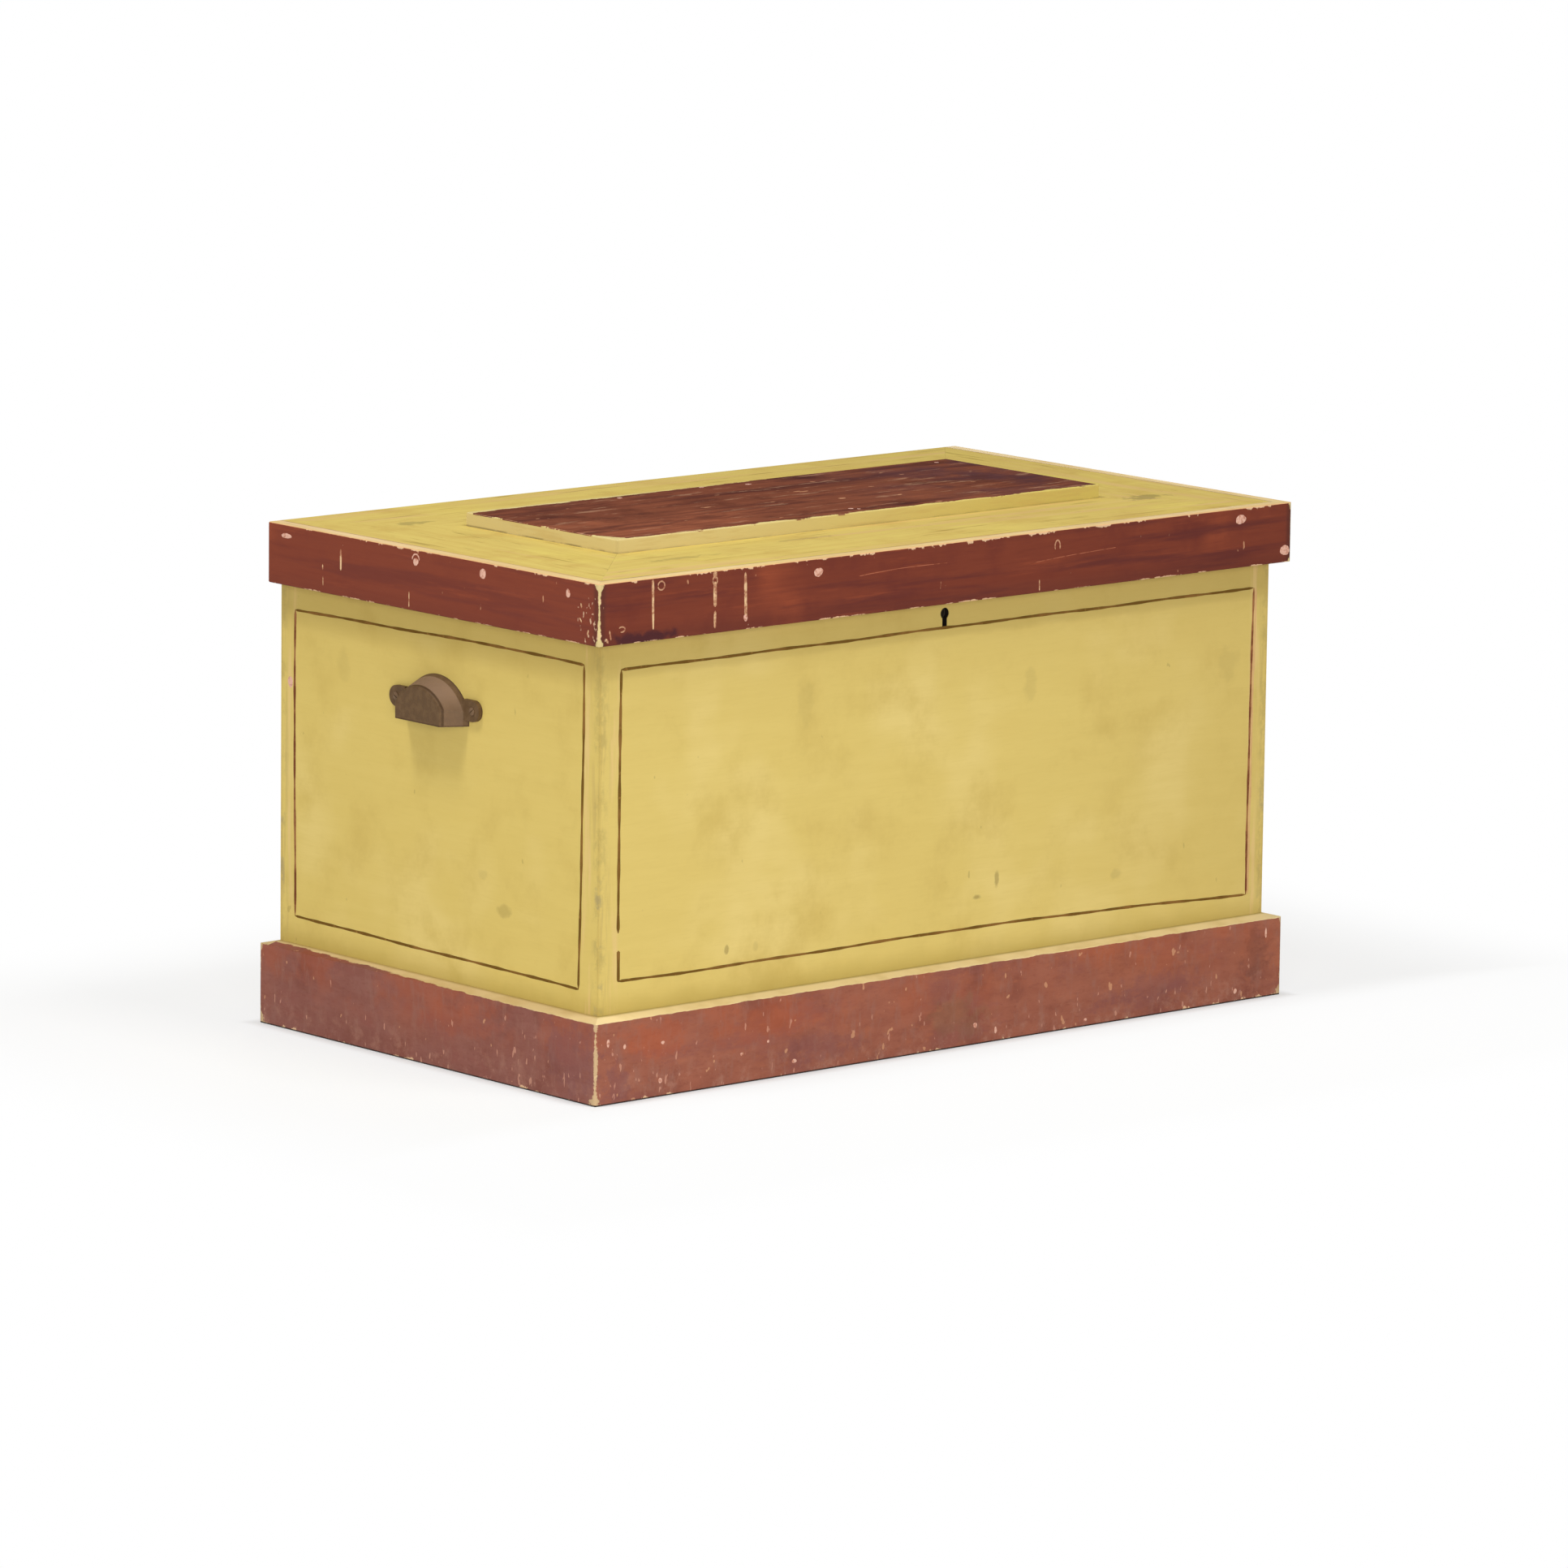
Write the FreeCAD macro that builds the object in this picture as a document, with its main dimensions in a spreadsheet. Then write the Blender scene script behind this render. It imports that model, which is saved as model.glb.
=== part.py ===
import FreeCAD, Part
import Sketcher

import math
import os
import re

# A painted softwood chest: four boards dovetailed at the corners, a boarded bottom, a mitred
# plinth, and a hinged lid made as a mitred frame round a thick raised panel, with a skirt that
# hangs over the case at the front and the two ends. The case stands centred on the origin,
# its front faces -Y and its left end -X. Every length here is in millimetres.
SIZES = {
    # The case
    "case_width": 931,
    "case_depth": 519,
    "side_height": 491,
    "board": 19,
    "floor_gap": 4,
    "bottom_thickness": 18,
    "tongue_depth": 6,
    "tongue_thickness": 6,
    "joint_gap": 0.2,
    # The dovetails: the pins' narrow end, and how much they flare on each side
    "pin_tip": 14,
    "pin_flare": 3.2,
    # The plinth: its top slopes up from the painted face to the case
    "plinth_thickness": 16,
    "plinth_face": 85,
    "plinth_slope": 4,
    "arris": 1.2,
    "corner_radius": 4,
    # The lid
    "lid_thickness": 22,
    "lid_clearance": 1,
    "stile_width": 130,
    "back_rail_width": 146,
    "skirt_thickness": 16,
    "skirt_drop": 42,
    "groove_depth": 10,
    "groove_height": 9,
    "lower_cheek": 7,
    "shrink_gap": 2,
    "panel_gap": 0.3,
    "panel_thickness": 29.5,
    "panel_arris": 1.5,
    # The hinges: butts with their barrels just behind the case
    "hinge_length": 76,
    "hinge_inset": 130,
    "leaf_thickness": 2.5,
    "barrel_radius": 4.5,
    "barrel_gap": 0.4,
    "hinge_pin_radius": 2,
    "hinge_pin_gap": 0.05,
    "hinge_pin_cap": 1.5,
    "knuckle_gap": 0.2,
    # The lock, let into the inside of the front board
    "lock_width": 92,
    "lock_height": 78,
    "lock_plate": 2,
    "lock_box_width": 70,
    "lock_box_drop": 5,
    "lock_box_height": 66,
    "lock_box_depth": 10.5,
    "lock_cover_wall": 1.4,
    "selvage_width": 14,
    # The bolt, its guides, and the eye on the lid that it shoots through
    "bolt_height": 7,
    "bolt_thickness": 3,
    "bolt_tail": 30,
    "bolt_nose": 10,
    "bolt_drop": 15,
    "bolt_throw": 14,
    "bolt_gap": 0.3,
    "bolt_leg_width": 8,
    "key_reach": 9,
    "key_notch_width": 5,
    "guide_length": 6,
    "guide_wall": 1.5,
    "spring_thickness": 0.8,
    "eye_offset": 16,
    "eye_thickness": 4,
    "eye_wall": 1.8,
    "eye_gap": 0.6,
    "strike_length": 60,
    "strike_width": 14,
    "strike_plate": 2,
    # The keyhole
    "keyhole_drop": 54.9,
    "keyhole_radius": 6,
    "keyhole_slot": 7,
    "keyhole_fall": 14.1,
    # The handles: cast cups with two ears, open underneath
    "handle_drop": 154.5,
    "handle_width": 103,
    "handle_height": 48,
    "handle_arch": 56,
    "handle_front_width": 73,
    "handle_front_height": 37,
    "handle_reach": 27,
    "handle_nose": 3,
    "handle_wall": 4,
    "ear_span": 146,
    "ear_height": 22,
    "ear_thickness": 5,
    "ear_lift": 6.5,
    # How far a cutting shape runs past what it cuts
    "overrun": 5,
}

TAILS = 5
KNUCKLES = 5
BOTTOM_BOARDS = 3

# Places worked out from the sizes, as text in the sheet's words
CASE_BASE = "(floor_gap + bottom_thickness)"
CASE_TOP = "(floor_gap + bottom_thickness + side_height)"
TAIL_PITCH = f"(side_height / {TAILS})"
LID_HALF_WIDTH = "(case_width / 2 + lid_clearance + skirt_thickness)"
LID_FRONT = "(case_depth / 2 + lid_clearance + skirt_thickness)"
FRAME_HALF_WIDTH = "(case_width / 2 + lid_clearance)"
FRAME_FRONT = "(case_depth / 2 + lid_clearance)"
HINGE_AXIS_Y = "(case_depth / 2 + barrel_radius + barrel_gap)"
LOCK_FACE_Y = "(board - case_depth / 2)"
BOLT_Z = f"({CASE_TOP} - bolt_drop)"
KEYHOLE_Z = f"({CASE_TOP} - keyhole_drop)"

Z_AXIS = FreeCAD.Vector(0, 0, 1)
UPRIGHT = FreeCAD.Rotation()
FACING_FRONT = FreeCAD.Rotation(FreeCAD.Vector(1, 0, 0), 90)
FACING_BACK = FreeCAD.Rotation(FreeCAD.Vector(1, 0, 0), -90)
FACING_RIGHT = FreeCAD.Rotation(FreeCAD.Vector(0, 1, 0), 90)

doc = FreeCAD.newDocument("painted_chest")
sheet = doc.addObject("Spreadsheet::Sheet", "Sizes")
for row, (alias, number) in enumerate(SIZES.items(), start=1):
    sheet.set(f"A{row}", alias)
    sheet.set(f"B{row}", str(number))
    sheet.setAlias(f"B{row}", alias)
doc.recompute()

pieces = []


def in_sheet(text):
    """The expression with each word of the sheet given its full name."""
    return re.sub(r"[a-z_]+", lambda word: "Sizes." + word.group(), str(text))


def bind(thing, prop, text):
    thing.setExpression(prop, in_sheet(text))


def place(thing, x="0", y="0", z="0", turn=UPRIGHT):
    """Put an object at a point written in the sheet's words."""
    thing.Placement = FreeCAD.Placement(FreeCAD.Vector(), turn)
    for axis, text in (("x", x), ("y", y), ("z", z)):
        bind(thing, f"Placement.Base.{axis}", text)
    return thing


def piece(thing, label):
    """Keep an object as one sub-part under its own label."""
    thing.Label = label
    pieces.append(thing)
    return thing


def size(alias):
    return float(sheet.get(alias))


def outline(sketch, points):
    """A closed outline of straight lines with every corner placed by two expressions."""
    first = sketch.GeometryCount
    count = len(points)
    spots = []
    for index in range(count):
        angle = 2 * math.pi * index / count
        spots.append(FreeCAD.Vector(math.cos(angle), math.sin(angle), 0))
    for index in range(count):
        sketch.addGeometry(Part.LineSegment(spots[index], spots[(index + 1) % count]), False)
    for index in range(count):
        following = first + (index + 1) % count
        sketch.addConstraint(Sketcher.Constraint("Coincident", first + index, 2, following, 1))
    for index, corner in enumerate(points):
        for kind, along, text in (
            ("DistanceX", spots[index].x, corner[0]),
            ("DistanceY", spots[index].y, corner[1]),
        ):
            rule = Sketcher.Constraint(kind, -1, 1, first + index, 1, along)
            number = sketch.addConstraint(rule)
            bind(sketch, f"Constraints[{number}]", text)


def sketch_on(body, name, role, outlines, lift="0"):
    """A sketch of closed outlines on one of the body's own planes, lifted along its normal."""
    sketch = body.newObject("Sketcher::SketchObject", name)
    for feature in body.Origin.OriginFeatures:
        if feature.Role == role:
            sketch.AttachmentSupport = [(feature, "")]
    sketch.MapMode = "FlatFace"
    bind(sketch, "AttachmentOffset.Base.z", lift)
    for points in outlines:
        outline(sketch, points)
    return sketch


def pad(body, sketch, length, symmetric=False):
    feature = body.newObject("PartDesign::Pad", sketch.Name + "_pad")
    feature.Profile = sketch
    bind(feature, "Length", length)
    if symmetric:
        feature.SideType = "Symmetric"
    return feature


def pocket(body, sketch, depth):
    """Cut a sketch away along its normal."""
    feature = body.newObject("PartDesign::Pocket", sketch.Name + "_pocket")
    feature.Profile = sketch
    bind(feature, "Length", depth)
    feature.Reversed = True
    return feature


def repeat_upward(body, feature, sketch, span, count):
    """Repeat a pocket up the sketch's vertical axis."""
    pattern = body.newObject("PartDesign::LinearPattern", feature.Name + "_rows")
    pattern.Originals = [feature]
    pattern.Direction = (sketch, ["V_Axis"])
    bind(pattern, "Length", span)
    pattern.Occurrences = count
    body.Tip = pattern
    return pattern


def rectangle(left, right, low, high):
    return [(left, low), (right, low), (right, high), (left, high)]


def box(name, x, y, z):
    """A block between two places on each axis, each written as a pair."""
    solid = doc.addObject("Part::Box", name)
    bind(solid, "Length", f"({x[1]}) - ({x[0]})")
    bind(solid, "Width", f"({y[1]}) - ({y[0]})")
    bind(solid, "Height", f"({z[1]}) - ({z[0]})")
    return place(solid, x[0], y[0], z[0])


def rod(name, radius, length, x, y, z, turn=UPRIGHT):
    solid = doc.addObject("Part::Cylinder", name)
    bind(solid, "Radius", radius)
    bind(solid, "Height", length)
    return place(solid, x, y, z, turn)


def fuse(name, solids):
    union = doc.addObject("Part::MultiFuse", name)
    union.Shapes = solids
    return union


def cut(name, base, tools):
    """One solid with others taken out of it."""
    result = doc.addObject("Part::Cut", name)
    result.Base = base
    result.Tool = tools[0] if len(tools) == 1 else fuse(name + "_tools", tools)
    return result


def rounded_block(name, plan, height):
    """A block with its upright edges rounded, to which mouldings are trimmed."""
    body = doc.addObject("PartDesign::Body", name)
    blank = pad(body, sketch_on(body, name + "_plan", "XY_Plane", [plan]), height)
    doc.recompute()
    upright = []
    for number, edge in enumerate(blank.Shape.Edges, start=1):
        if edge.BoundBox.ZLength > size("overrun"):
            upright.append(f"Edge{number}")
    rounding = body.newObject("PartDesign::Fillet", name + "_corners")
    rounding.Base = (blank, upright)
    bind(rounding, "Radius", "corner_radius")
    return body


def trim(name, body, block):
    """The part of a moulding that lies inside a block."""
    common = doc.addObject("Part::MultiCommon", name)
    common.Shapes = [body, block]
    return common


def strip(name, section, length, width, runs=("0", "0")):
    """A length of moulding along X, its back at y = 0, with its ends cut on the slant.

    Each run is how far the end's slant goes along the moulding over its whole width.
    """
    body = doc.addObject("PartDesign::Body", name)
    profile = sketch_on(body, name + "_section", "YZ_Plane", [section])
    pad(body, profile, length, symmetric=True)
    slants = []
    for side, run in zip((-1, 1), runs):
        if run == "0":
            continue
        inner = f"{side} * (({length}) / 2 - ({run}) - ({run}) * overrun / ({width}))"
        outer = f"{side} * (({length}) / 2 + ({run}) * overrun / ({width}))"
        slants.append([(inner, "overrun"), (outer, f"-({width}) - overrun"), (outer, "overrun")])
    if slants:
        ends = sketch_on(body, name + "_ends", "XY_Plane", slants, lift="-2 * skirt_drop")
        pocket(body, ends, "2 * skirt_drop + plinth_face + plinth_slope + overrun")
    return body


# The four boards of the case. Front and back carry the tails, the ends carry the pins.
def tail_board(name):
    """A board seen on its outer face, with sockets for the pins at both ends."""
    body = doc.addObject("PartDesign::Body", name)
    half = "case_width / 2"
    face = rectangle(f"-{half}", half, "0", "side_height")
    pad(body, sketch_on(body, name + "_face", "XZ_Plane", [face]), "board")
    sockets = []
    for side in (-1, 1):
        end = f"{side} * ({half})"
        root = f"{side} * ({half} - board)"
        beyond = f"{side} * ({half} + overrun)"
        narrow = "(pin_tip / 2 - pin_flare * overrun / board)"
        wide = "(pin_tip / 2 + pin_flare)"
        sockets.append([(beyond, f"-{narrow}"), (root, f"-{wide}"), (root, wide), (beyond, narrow)])
    row_sketch = sketch_on(body, name + "_sockets", "XZ_Plane", sockets)
    repeat_upward(body, pocket(body, row_sketch, "board"), row_sketch, "side_height", TAILS + 1)
    return body


def pin_board(name, side):
    """An end board, with the front and back boards' tails cut out of its two ends."""
    body = doc.addObject("PartDesign::Body", name)
    outer = f"{side} * case_width / 2"
    inner = f"{side} * (case_width / 2 - board)"
    face = rectangle(outer, inner, "0", "side_height")
    pad(body, sketch_on(body, name + "_end", "XZ_Plane", [face]), "case_depth", symmetric=True)
    beyond = f"{side} * (case_width / 2 + overrun)"
    within = f"{side} * (case_width / 2 - board - overrun)"
    flare = "pin_flare * overrun / board"
    wide = f"(({TAIL_PITCH} - pin_tip) / 2 + {flare})"
    narrow = f"(({TAIL_PITCH} - pin_tip) / 2 - pin_flare - {flare})"
    middle = f"{TAIL_PITCH} / 2"
    tail = [
        (beyond, f"{middle} - {wide}"),
        (within, f"{middle} - {narrow}"),
        (within, f"{middle} + {narrow}"),
        (beyond, f"{middle} + {wide}"),
    ]
    for end, lift in (("front", "case_depth / 2 - board"), ("back", "-case_depth / 2")):
        tails = sketch_on(body, f"{name}_{end}_tails", "XZ_Plane", [tail], lift=lift)
        repeat_upward(
            body,
            pocket(body, tails, "board"),
            tails,
            f"side_height - {TAIL_PITCH}",
            TAILS,
        )
    return body


HINGE_SPOTS = {
    "left": "(-case_width / 2 + hinge_inset)",
    "right": "(case_width / 2 - hinge_inset)",
}


# The hinges. Each leaf is let into its wood, and the two meet at the lid's underside.
def knuckle_ends(middle, index):
    """Where a knuckle begins and ends along the barrel."""
    start = f"({middle} - hinge_length / 2 + {index} * hinge_length / {KNUCKLES})"
    low = start if index == 0 else f"({start} + knuckle_gap / 2)"
    stop = f"({start} + hinge_length / {KNUCKLES})"
    high = stop if index == KNUCKLES - 1 else f"({stop} - knuckle_gap / 2)"
    return low, high


def hinge_leaf(name, middle, indices, low, high):
    plate = box(
        name + "_plate",
        (f"{middle} - hinge_length / 2", f"{middle} + hinge_length / 2"),
        ("case_depth / 2 - board", "case_depth / 2"),
        (low, high),
    )
    solids = [plate]
    for index in indices:
        ends = knuckle_ends(middle, index)
        solids.append(
            rod(
                f"{name}_knuckle_{index}",
                "barrel_radius",
                f"{ends[1]} - {ends[0]}",
                ends[0],
                HINGE_AXIS_Y,
                CASE_TOP,
                FACING_RIGHT,
            )
        )
        wrap = ("case_depth / 2 - barrel_radius", HINGE_AXIS_Y)
        solids.append(box(f"{name}_wrap_{index}", ends, wrap, (low, high)))
    bore = rod(
        name + "_bore",
        "hinge_pin_radius + hinge_pin_gap",
        "hinge_length + 2 * overrun",
        f"{middle} - hinge_length / 2 - overrun",
        HINGE_AXIS_Y,
        CASE_TOP,
        FACING_RIGHT,
    )
    return cut(name, fuse(name + "_blank", solids), [bore])


def hinge_pin(name, middle):
    """A pin with a flat head beyond each end of the barrel."""
    span = "(hinge_length / 2 + knuckle_gap)"
    shaft = rod(
        name + "_shaft",
        "hinge_pin_radius",
        f"2 * {span}",
        f"{middle} - {span}",
        HINGE_AXIS_Y,
        CASE_TOP,
        FACING_RIGHT,
    )
    caps = []
    for label, start in (
        ("left", f"{middle} - {span} - hinge_pin_cap"),
        ("right", f"{middle} + {span}"),
    ):
        cap = rod(
            f"{name}_{label}_cap",
            "barrel_radius - hinge_pin_cap / 2",
            "hinge_pin_cap",
            start,
            HINGE_AXIS_Y,
            CASE_TOP,
            FACING_RIGHT,
        )
        caps.append(cap)
    return fuse(name, [shaft] + caps)


def leaf_gain(name, middle, low, high):
    """The seat of a hinge leaf in the edge of its board."""
    return box(
        name,
        (f"{middle} - hinge_length / 2", f"{middle} + hinge_length / 2"),
        ("case_depth / 2 - board", "case_depth / 2 + overrun"),
        (low, high),
    )


LEAF_TOP = f"{CASE_TOP} + leaf_thickness"
LEAF_BOTTOM = f"{CASE_TOP} - leaf_thickness"
back_board_cuts = []
back_rail_cuts = []
for side, middle in HINGE_SPOTS.items():
    back_board_cuts.append(leaf_gain(f"case_gain_{side}", middle, LEAF_BOTTOM, f"{CASE_TOP} + overrun"))
    back_rail_cuts.append(leaf_gain(f"lid_gain_{side}", middle, f"{CASE_TOP} - overrun", LEAF_TOP))
    leaf = hinge_leaf(f"{side}_case_leaf", middle, range(0, KNUCKLES, 2), LEAF_BOTTOM, CASE_TOP)
    piece(leaf, f"{side}_hinge_case_leaf")
    leaf = hinge_leaf(f"{side}_lid_leaf", middle, range(1, KNUCKLES, 2), CASE_TOP, LEAF_TOP)
    piece(leaf, f"{side}_hinge_lid_leaf")
    piece(hinge_pin(f"{side}_pin", middle), f"{side}_hinge_pin")


# The lock: a plate with a turned-over selvage, a cover over the works, and the bolt.
LOCK_BACK = f"({LOCK_FACE_Y} - lock_plate)"
BOX_FRONT = f"({LOCK_BACK} - lock_box_depth)"
BOX_TOP = f"({CASE_TOP} - lock_box_drop)"
BOX_BOTTOM = f"({CASE_TOP} - lock_box_drop - lock_box_height)"
LOCK_BOTTOM = f"({CASE_TOP} - lock_height)"
EYE_REACH = "(bolt_thickness / 2 + eye_gap + eye_wall)"
EYE_Y = f"(({BOX_FRONT} + lock_cover_wall + {LOCK_BACK}) / 2)"
BOLT_FRONT = f"({EYE_Y} - bolt_thickness / 2)"
BOLT_BACK = f"({EYE_Y} + bolt_thickness / 2)"
BOLT_TOP = f"({BOLT_Z} + bolt_height / 2)"
BOLT_UNDER = f"({BOLT_Z} - bolt_height / 2)"
LEG_LEFT = "(-bolt_throw / 2 - bolt_leg_width / 2)"
STAPLE_LEFT = f"({LEG_LEFT} - bolt_gap - guide_length)"


def lock_keyhole(name, front, back, radius, slot, fall):
    """A round hole with a slot below it, through whatever lies between two planes."""
    head = rod(name + "_round", radius, f"({back}) - ({front})", "0", back, KEYHOLE_Z, FACING_FRONT)
    tail = box(
        name + "_slot", (f"-{slot} / 2", f"{slot} / 2"), (front, back), (f"{KEYHOLE_Z} - {fall}", KEYHOLE_Z)
    )
    return [head, tail]


def eye_slot(name):
    """The slot in the selvage that lets the lid's eye down into the lock."""
    reach = f"({EYE_REACH} + eye_gap)"
    return box(
        name,
        ("eye_offset - eye_thickness / 2 - eye_gap", "eye_offset + eye_thickness / 2 + eye_gap"),
        (f"{EYE_Y} - {reach}", f"{EYE_Y} + {reach}"),
        (f"{CASE_TOP} - lock_plate - overrun", f"{CASE_TOP} + overrun"),
    )


plate = box(
    "lock_back_plate",
    ("-lock_width / 2", "lock_width / 2"),
    (LOCK_BACK, LOCK_FACE_Y),
    (LOCK_BOTTOM, CASE_TOP),
)
selvage = box(
    "lock_selvage",
    ("-lock_width / 2", "lock_width / 2"),
    (f"{LOCK_FACE_Y} - selvage_width", LOCK_FACE_Y),
    (f"{CASE_TOP} - lock_plate", CASE_TOP),
)
guide_y = (f"{BOLT_FRONT} - guide_wall", LOCK_BACK)
staple = box(
    "bolt_staple",
    (STAPLE_LEFT, f"{STAPLE_LEFT} + guide_length"),
    guide_y,
    (f"{BOLT_UNDER} - guide_wall", f"{BOLT_TOP} + guide_wall"),
)
channel = box(
    "staple_channel",
    (f"{STAPLE_LEFT} - overrun", f"{STAPLE_LEFT} + guide_length + overrun"),
    (f"{BOLT_FRONT} - bolt_gap", f"{BOLT_BACK} + bolt_gap"),
    (f"{BOLT_UNDER} - bolt_gap", f"{BOLT_TOP} + bolt_gap"),
)
keeper = box(
    "bolt_keeper",
    ("bolt_gap", "guide_length + bolt_gap"),
    guide_y,
    (f"{BOLT_TOP} + bolt_gap", f"{BOLT_TOP} + guide_wall"),
)
guides = [cut("staple", staple, [channel]), keeper]
lock_plate_blank = fuse("lock_plate_blank", [plate, selvage] + guides)
piece(cut("lock_plate_body", lock_plate_blank, [eye_slot("selvage_slot")]), "lock_plate")

cover_outer = box(
    "cover_outer",
    ("-lock_box_width / 2", "lock_box_width / 2"),
    (BOX_FRONT, LOCK_BACK),
    (BOX_BOTTOM, BOX_TOP),
)
cover_hollow = box(
    "cover_hollow",
    ("lock_cover_wall - lock_box_width / 2", "lock_box_width / 2 - lock_cover_wall"),
    (f"{BOX_FRONT} + lock_cover_wall", f"{LOCK_BACK} + overrun"),
    (f"{BOX_BOTTOM} + lock_cover_wall", f"{BOX_TOP} - lock_cover_wall"),
)
cover_keyhole = lock_keyhole(
    "cover_keyhole",
    f"{BOX_FRONT} - overrun",
    f"{BOX_FRONT} + overrun",
    "keyhole_radius",
    "keyhole_slot",
    "keyhole_fall",
)
reach = f"({EYE_REACH} + eye_gap)"
cover_mouth = box(
    "cover_mouth",
    ("eye_offset - eye_thickness / 2 - eye_gap", "eye_offset + eye_thickness / 2 + eye_gap"),
    (f"{EYE_Y} - {reach}", f"{EYE_Y} + {reach}"),
    (f"{BOX_TOP} - overrun", f"{BOX_TOP} + overrun"),
)
piece(cut("cover", cover_outer, [cover_hollow, cover_mouth] + cover_keyhole), "lock_cover")

bolt_bar = box("bolt_bar", ("-bolt_tail", "bolt_nose"), (BOLT_FRONT, BOLT_BACK), (BOLT_UNDER, BOLT_TOP))
bolt_leg = box(
    "bolt_leg",
    (LEG_LEFT, f"{LEG_LEFT} + bolt_leg_width"),
    (BOLT_FRONT, BOLT_BACK),
    (f"{KEYHOLE_Z} + key_reach", BOLT_Z),
)
key_notch = box(
    "bolt_key_notch",
    ("-(bolt_throw + key_notch_width) / 2", "(key_notch_width - bolt_throw) / 2"),
    (f"{BOLT_FRONT} - overrun", f"{BOLT_BACK} + overrun"),
    (f"{KEYHOLE_Z} + key_reach - overrun", f"{KEYHOLE_Z} + key_reach + key_notch_width"),
)
piece(cut("bolt_cut", fuse("bolt_blank", [bolt_bar, bolt_leg]), [key_notch]), "lock_bolt")

# The spring: a folded leaf between the bolt's tail and the roof of the lock
spring = doc.addObject("PartDesign::Body", "spring")
spring_foot = f"{BOLT_TOP} + bolt_gap"
spring_lap = f"{BOLT_TOP} + bolt_gap + spring_thickness"
spring_roof = f"{BOX_TOP} - lock_cover_wall - bolt_gap"
spring_outline = [
    ("-bolt_tail - spring_thickness", spring_foot),
    (f"{STAPLE_LEFT} - spring_thickness", spring_foot),
    (f"{STAPLE_LEFT} - spring_thickness", spring_lap),
    ("-bolt_tail + spring_thickness", spring_lap),
    (STAPLE_LEFT, spring_roof),
    (f"{STAPLE_LEFT} - 2 * spring_thickness", spring_roof),
    ("-bolt_tail - spring_thickness", spring_lap),
]
pad(spring, sketch_on(spring, "spring_side", "XZ_Plane", [spring_outline]), "bolt_thickness", symmetric=True)
place(spring, y=EYE_Y)
piece(spring, "lock_spring")

# The strike on the lid: a plate let into the front rail, with the eye hanging from it.
strike_x = ("eye_offset - strike_length / 2", "eye_offset + strike_length / 2")
strike_y = (f"{EYE_Y} - strike_width / 2", f"{EYE_Y} + strike_width / 2")
strike_blank = box("strike_blank", strike_x, strike_y, (CASE_TOP, f"{CASE_TOP} + strike_plate"))
eye = box(
    "eye",
    ("eye_offset - eye_thickness / 2", "eye_offset + eye_thickness / 2"),
    (f"{EYE_Y} - {EYE_REACH}", f"{EYE_Y} + {EYE_REACH}"),
    (f"{BOLT_UNDER} - eye_gap - eye_wall", CASE_TOP),
)
eye_hole = box(
    "eye_hole",
    ("eye_offset - eye_thickness", "eye_offset + eye_thickness"),
    (f"{BOLT_FRONT} - eye_gap", f"{BOLT_BACK} + eye_gap"),
    (f"{BOLT_UNDER} - eye_gap", f"{BOLT_TOP} + eye_gap"),
)
piece(cut("strike_body", fuse("strike_fused", [strike_blank, eye]), [eye_hole]), "lock_strike")

# The case boards, with the seats that they carry
front_cuts = [
    box(
        "plate_seat",
        ("-lock_width / 2", "lock_width / 2"),
        (LOCK_BACK, f"{LOCK_FACE_Y} + overrun"),
        (LOCK_BOTTOM, f"{CASE_TOP} + overrun"),
    ),
    box(
        "selvage_seat",
        ("-lock_width / 2", "lock_width / 2"),
        (f"{LOCK_FACE_Y} - selvage_width", f"{LOCK_FACE_Y} + overrun"),
        (f"{CASE_TOP} - lock_plate", f"{CASE_TOP} + overrun"),
    ),
    box(
        "works_mortise",
        ("-lock_box_width / 2", "lock_box_width / 2"),
        (BOX_FRONT, f"{LOCK_FACE_Y} + overrun"),
        (BOX_BOTTOM, f"{CASE_TOP} + overrun"),
    ),
]
front_cuts += lock_keyhole(
    "board_keyhole",
    "-case_depth / 2 - overrun",
    f"{BOX_FRONT} + overrun",
    "keyhole_radius",
    "keyhole_slot",
    "keyhole_fall",
)
front_blank = place(tail_board("front_blank"), y=LOCK_FACE_Y, z=CASE_BASE)
piece(cut("front_cut", front_blank, front_cuts), "front_board")
back_blank = place(
    tail_board("back_blank"),
    y="case_depth / 2 - board",
    z=CASE_BASE,
    turn=FreeCAD.Rotation(Z_AXIS, 180),
)
piece(cut("back_cut", back_blank, back_board_cuts), "back_board")


# The handles, one on each end board. Each is made against a wall at y = 0, reaching out
# along +Y, and then turned on to its board.
def tapered_arch(name, wall, depth, low):
    """An arch that narrows outwards: where a cone and a wedge of the same taper meet."""
    crown = doc.addObject("Part::Cone", name + "_crown")
    bind(crown, "Radius1", f"handle_arch - {wall}")
    bind(crown, "Radius2", f"handle_arch - handle_height + handle_front_height - {wall}")
    bind(crown, "Height", "handle_reach")
    place(crown, z="handle_height - handle_arch", turn=FACING_BACK)
    flanks = doc.addObject("Part::Wedge", name + "_flanks")
    taper = f"(handle_width - handle_front_width) / 2 * ({depth}) / handle_reach"
    near = f"(handle_width / 2 - {wall})"
    for prop, text in (
        ("Xmin", f"-{near}"),
        ("Xmax", near),
        ("X2min", f"{taper} - {near}"),
        ("X2max", f"{near} - {taper}"),
        ("Ymin", "0"),
        ("Ymax", depth),
        ("Zmin", low),
        ("Z2min", low),
        ("Zmax", "handle_height + overrun"),
        ("Z2max", "handle_height + overrun"),
    ):
        bind(flanks, prop, text)
    both = doc.addObject("Part::MultiCommon", name)
    both.Shapes = [crown, flanks]
    return both


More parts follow.
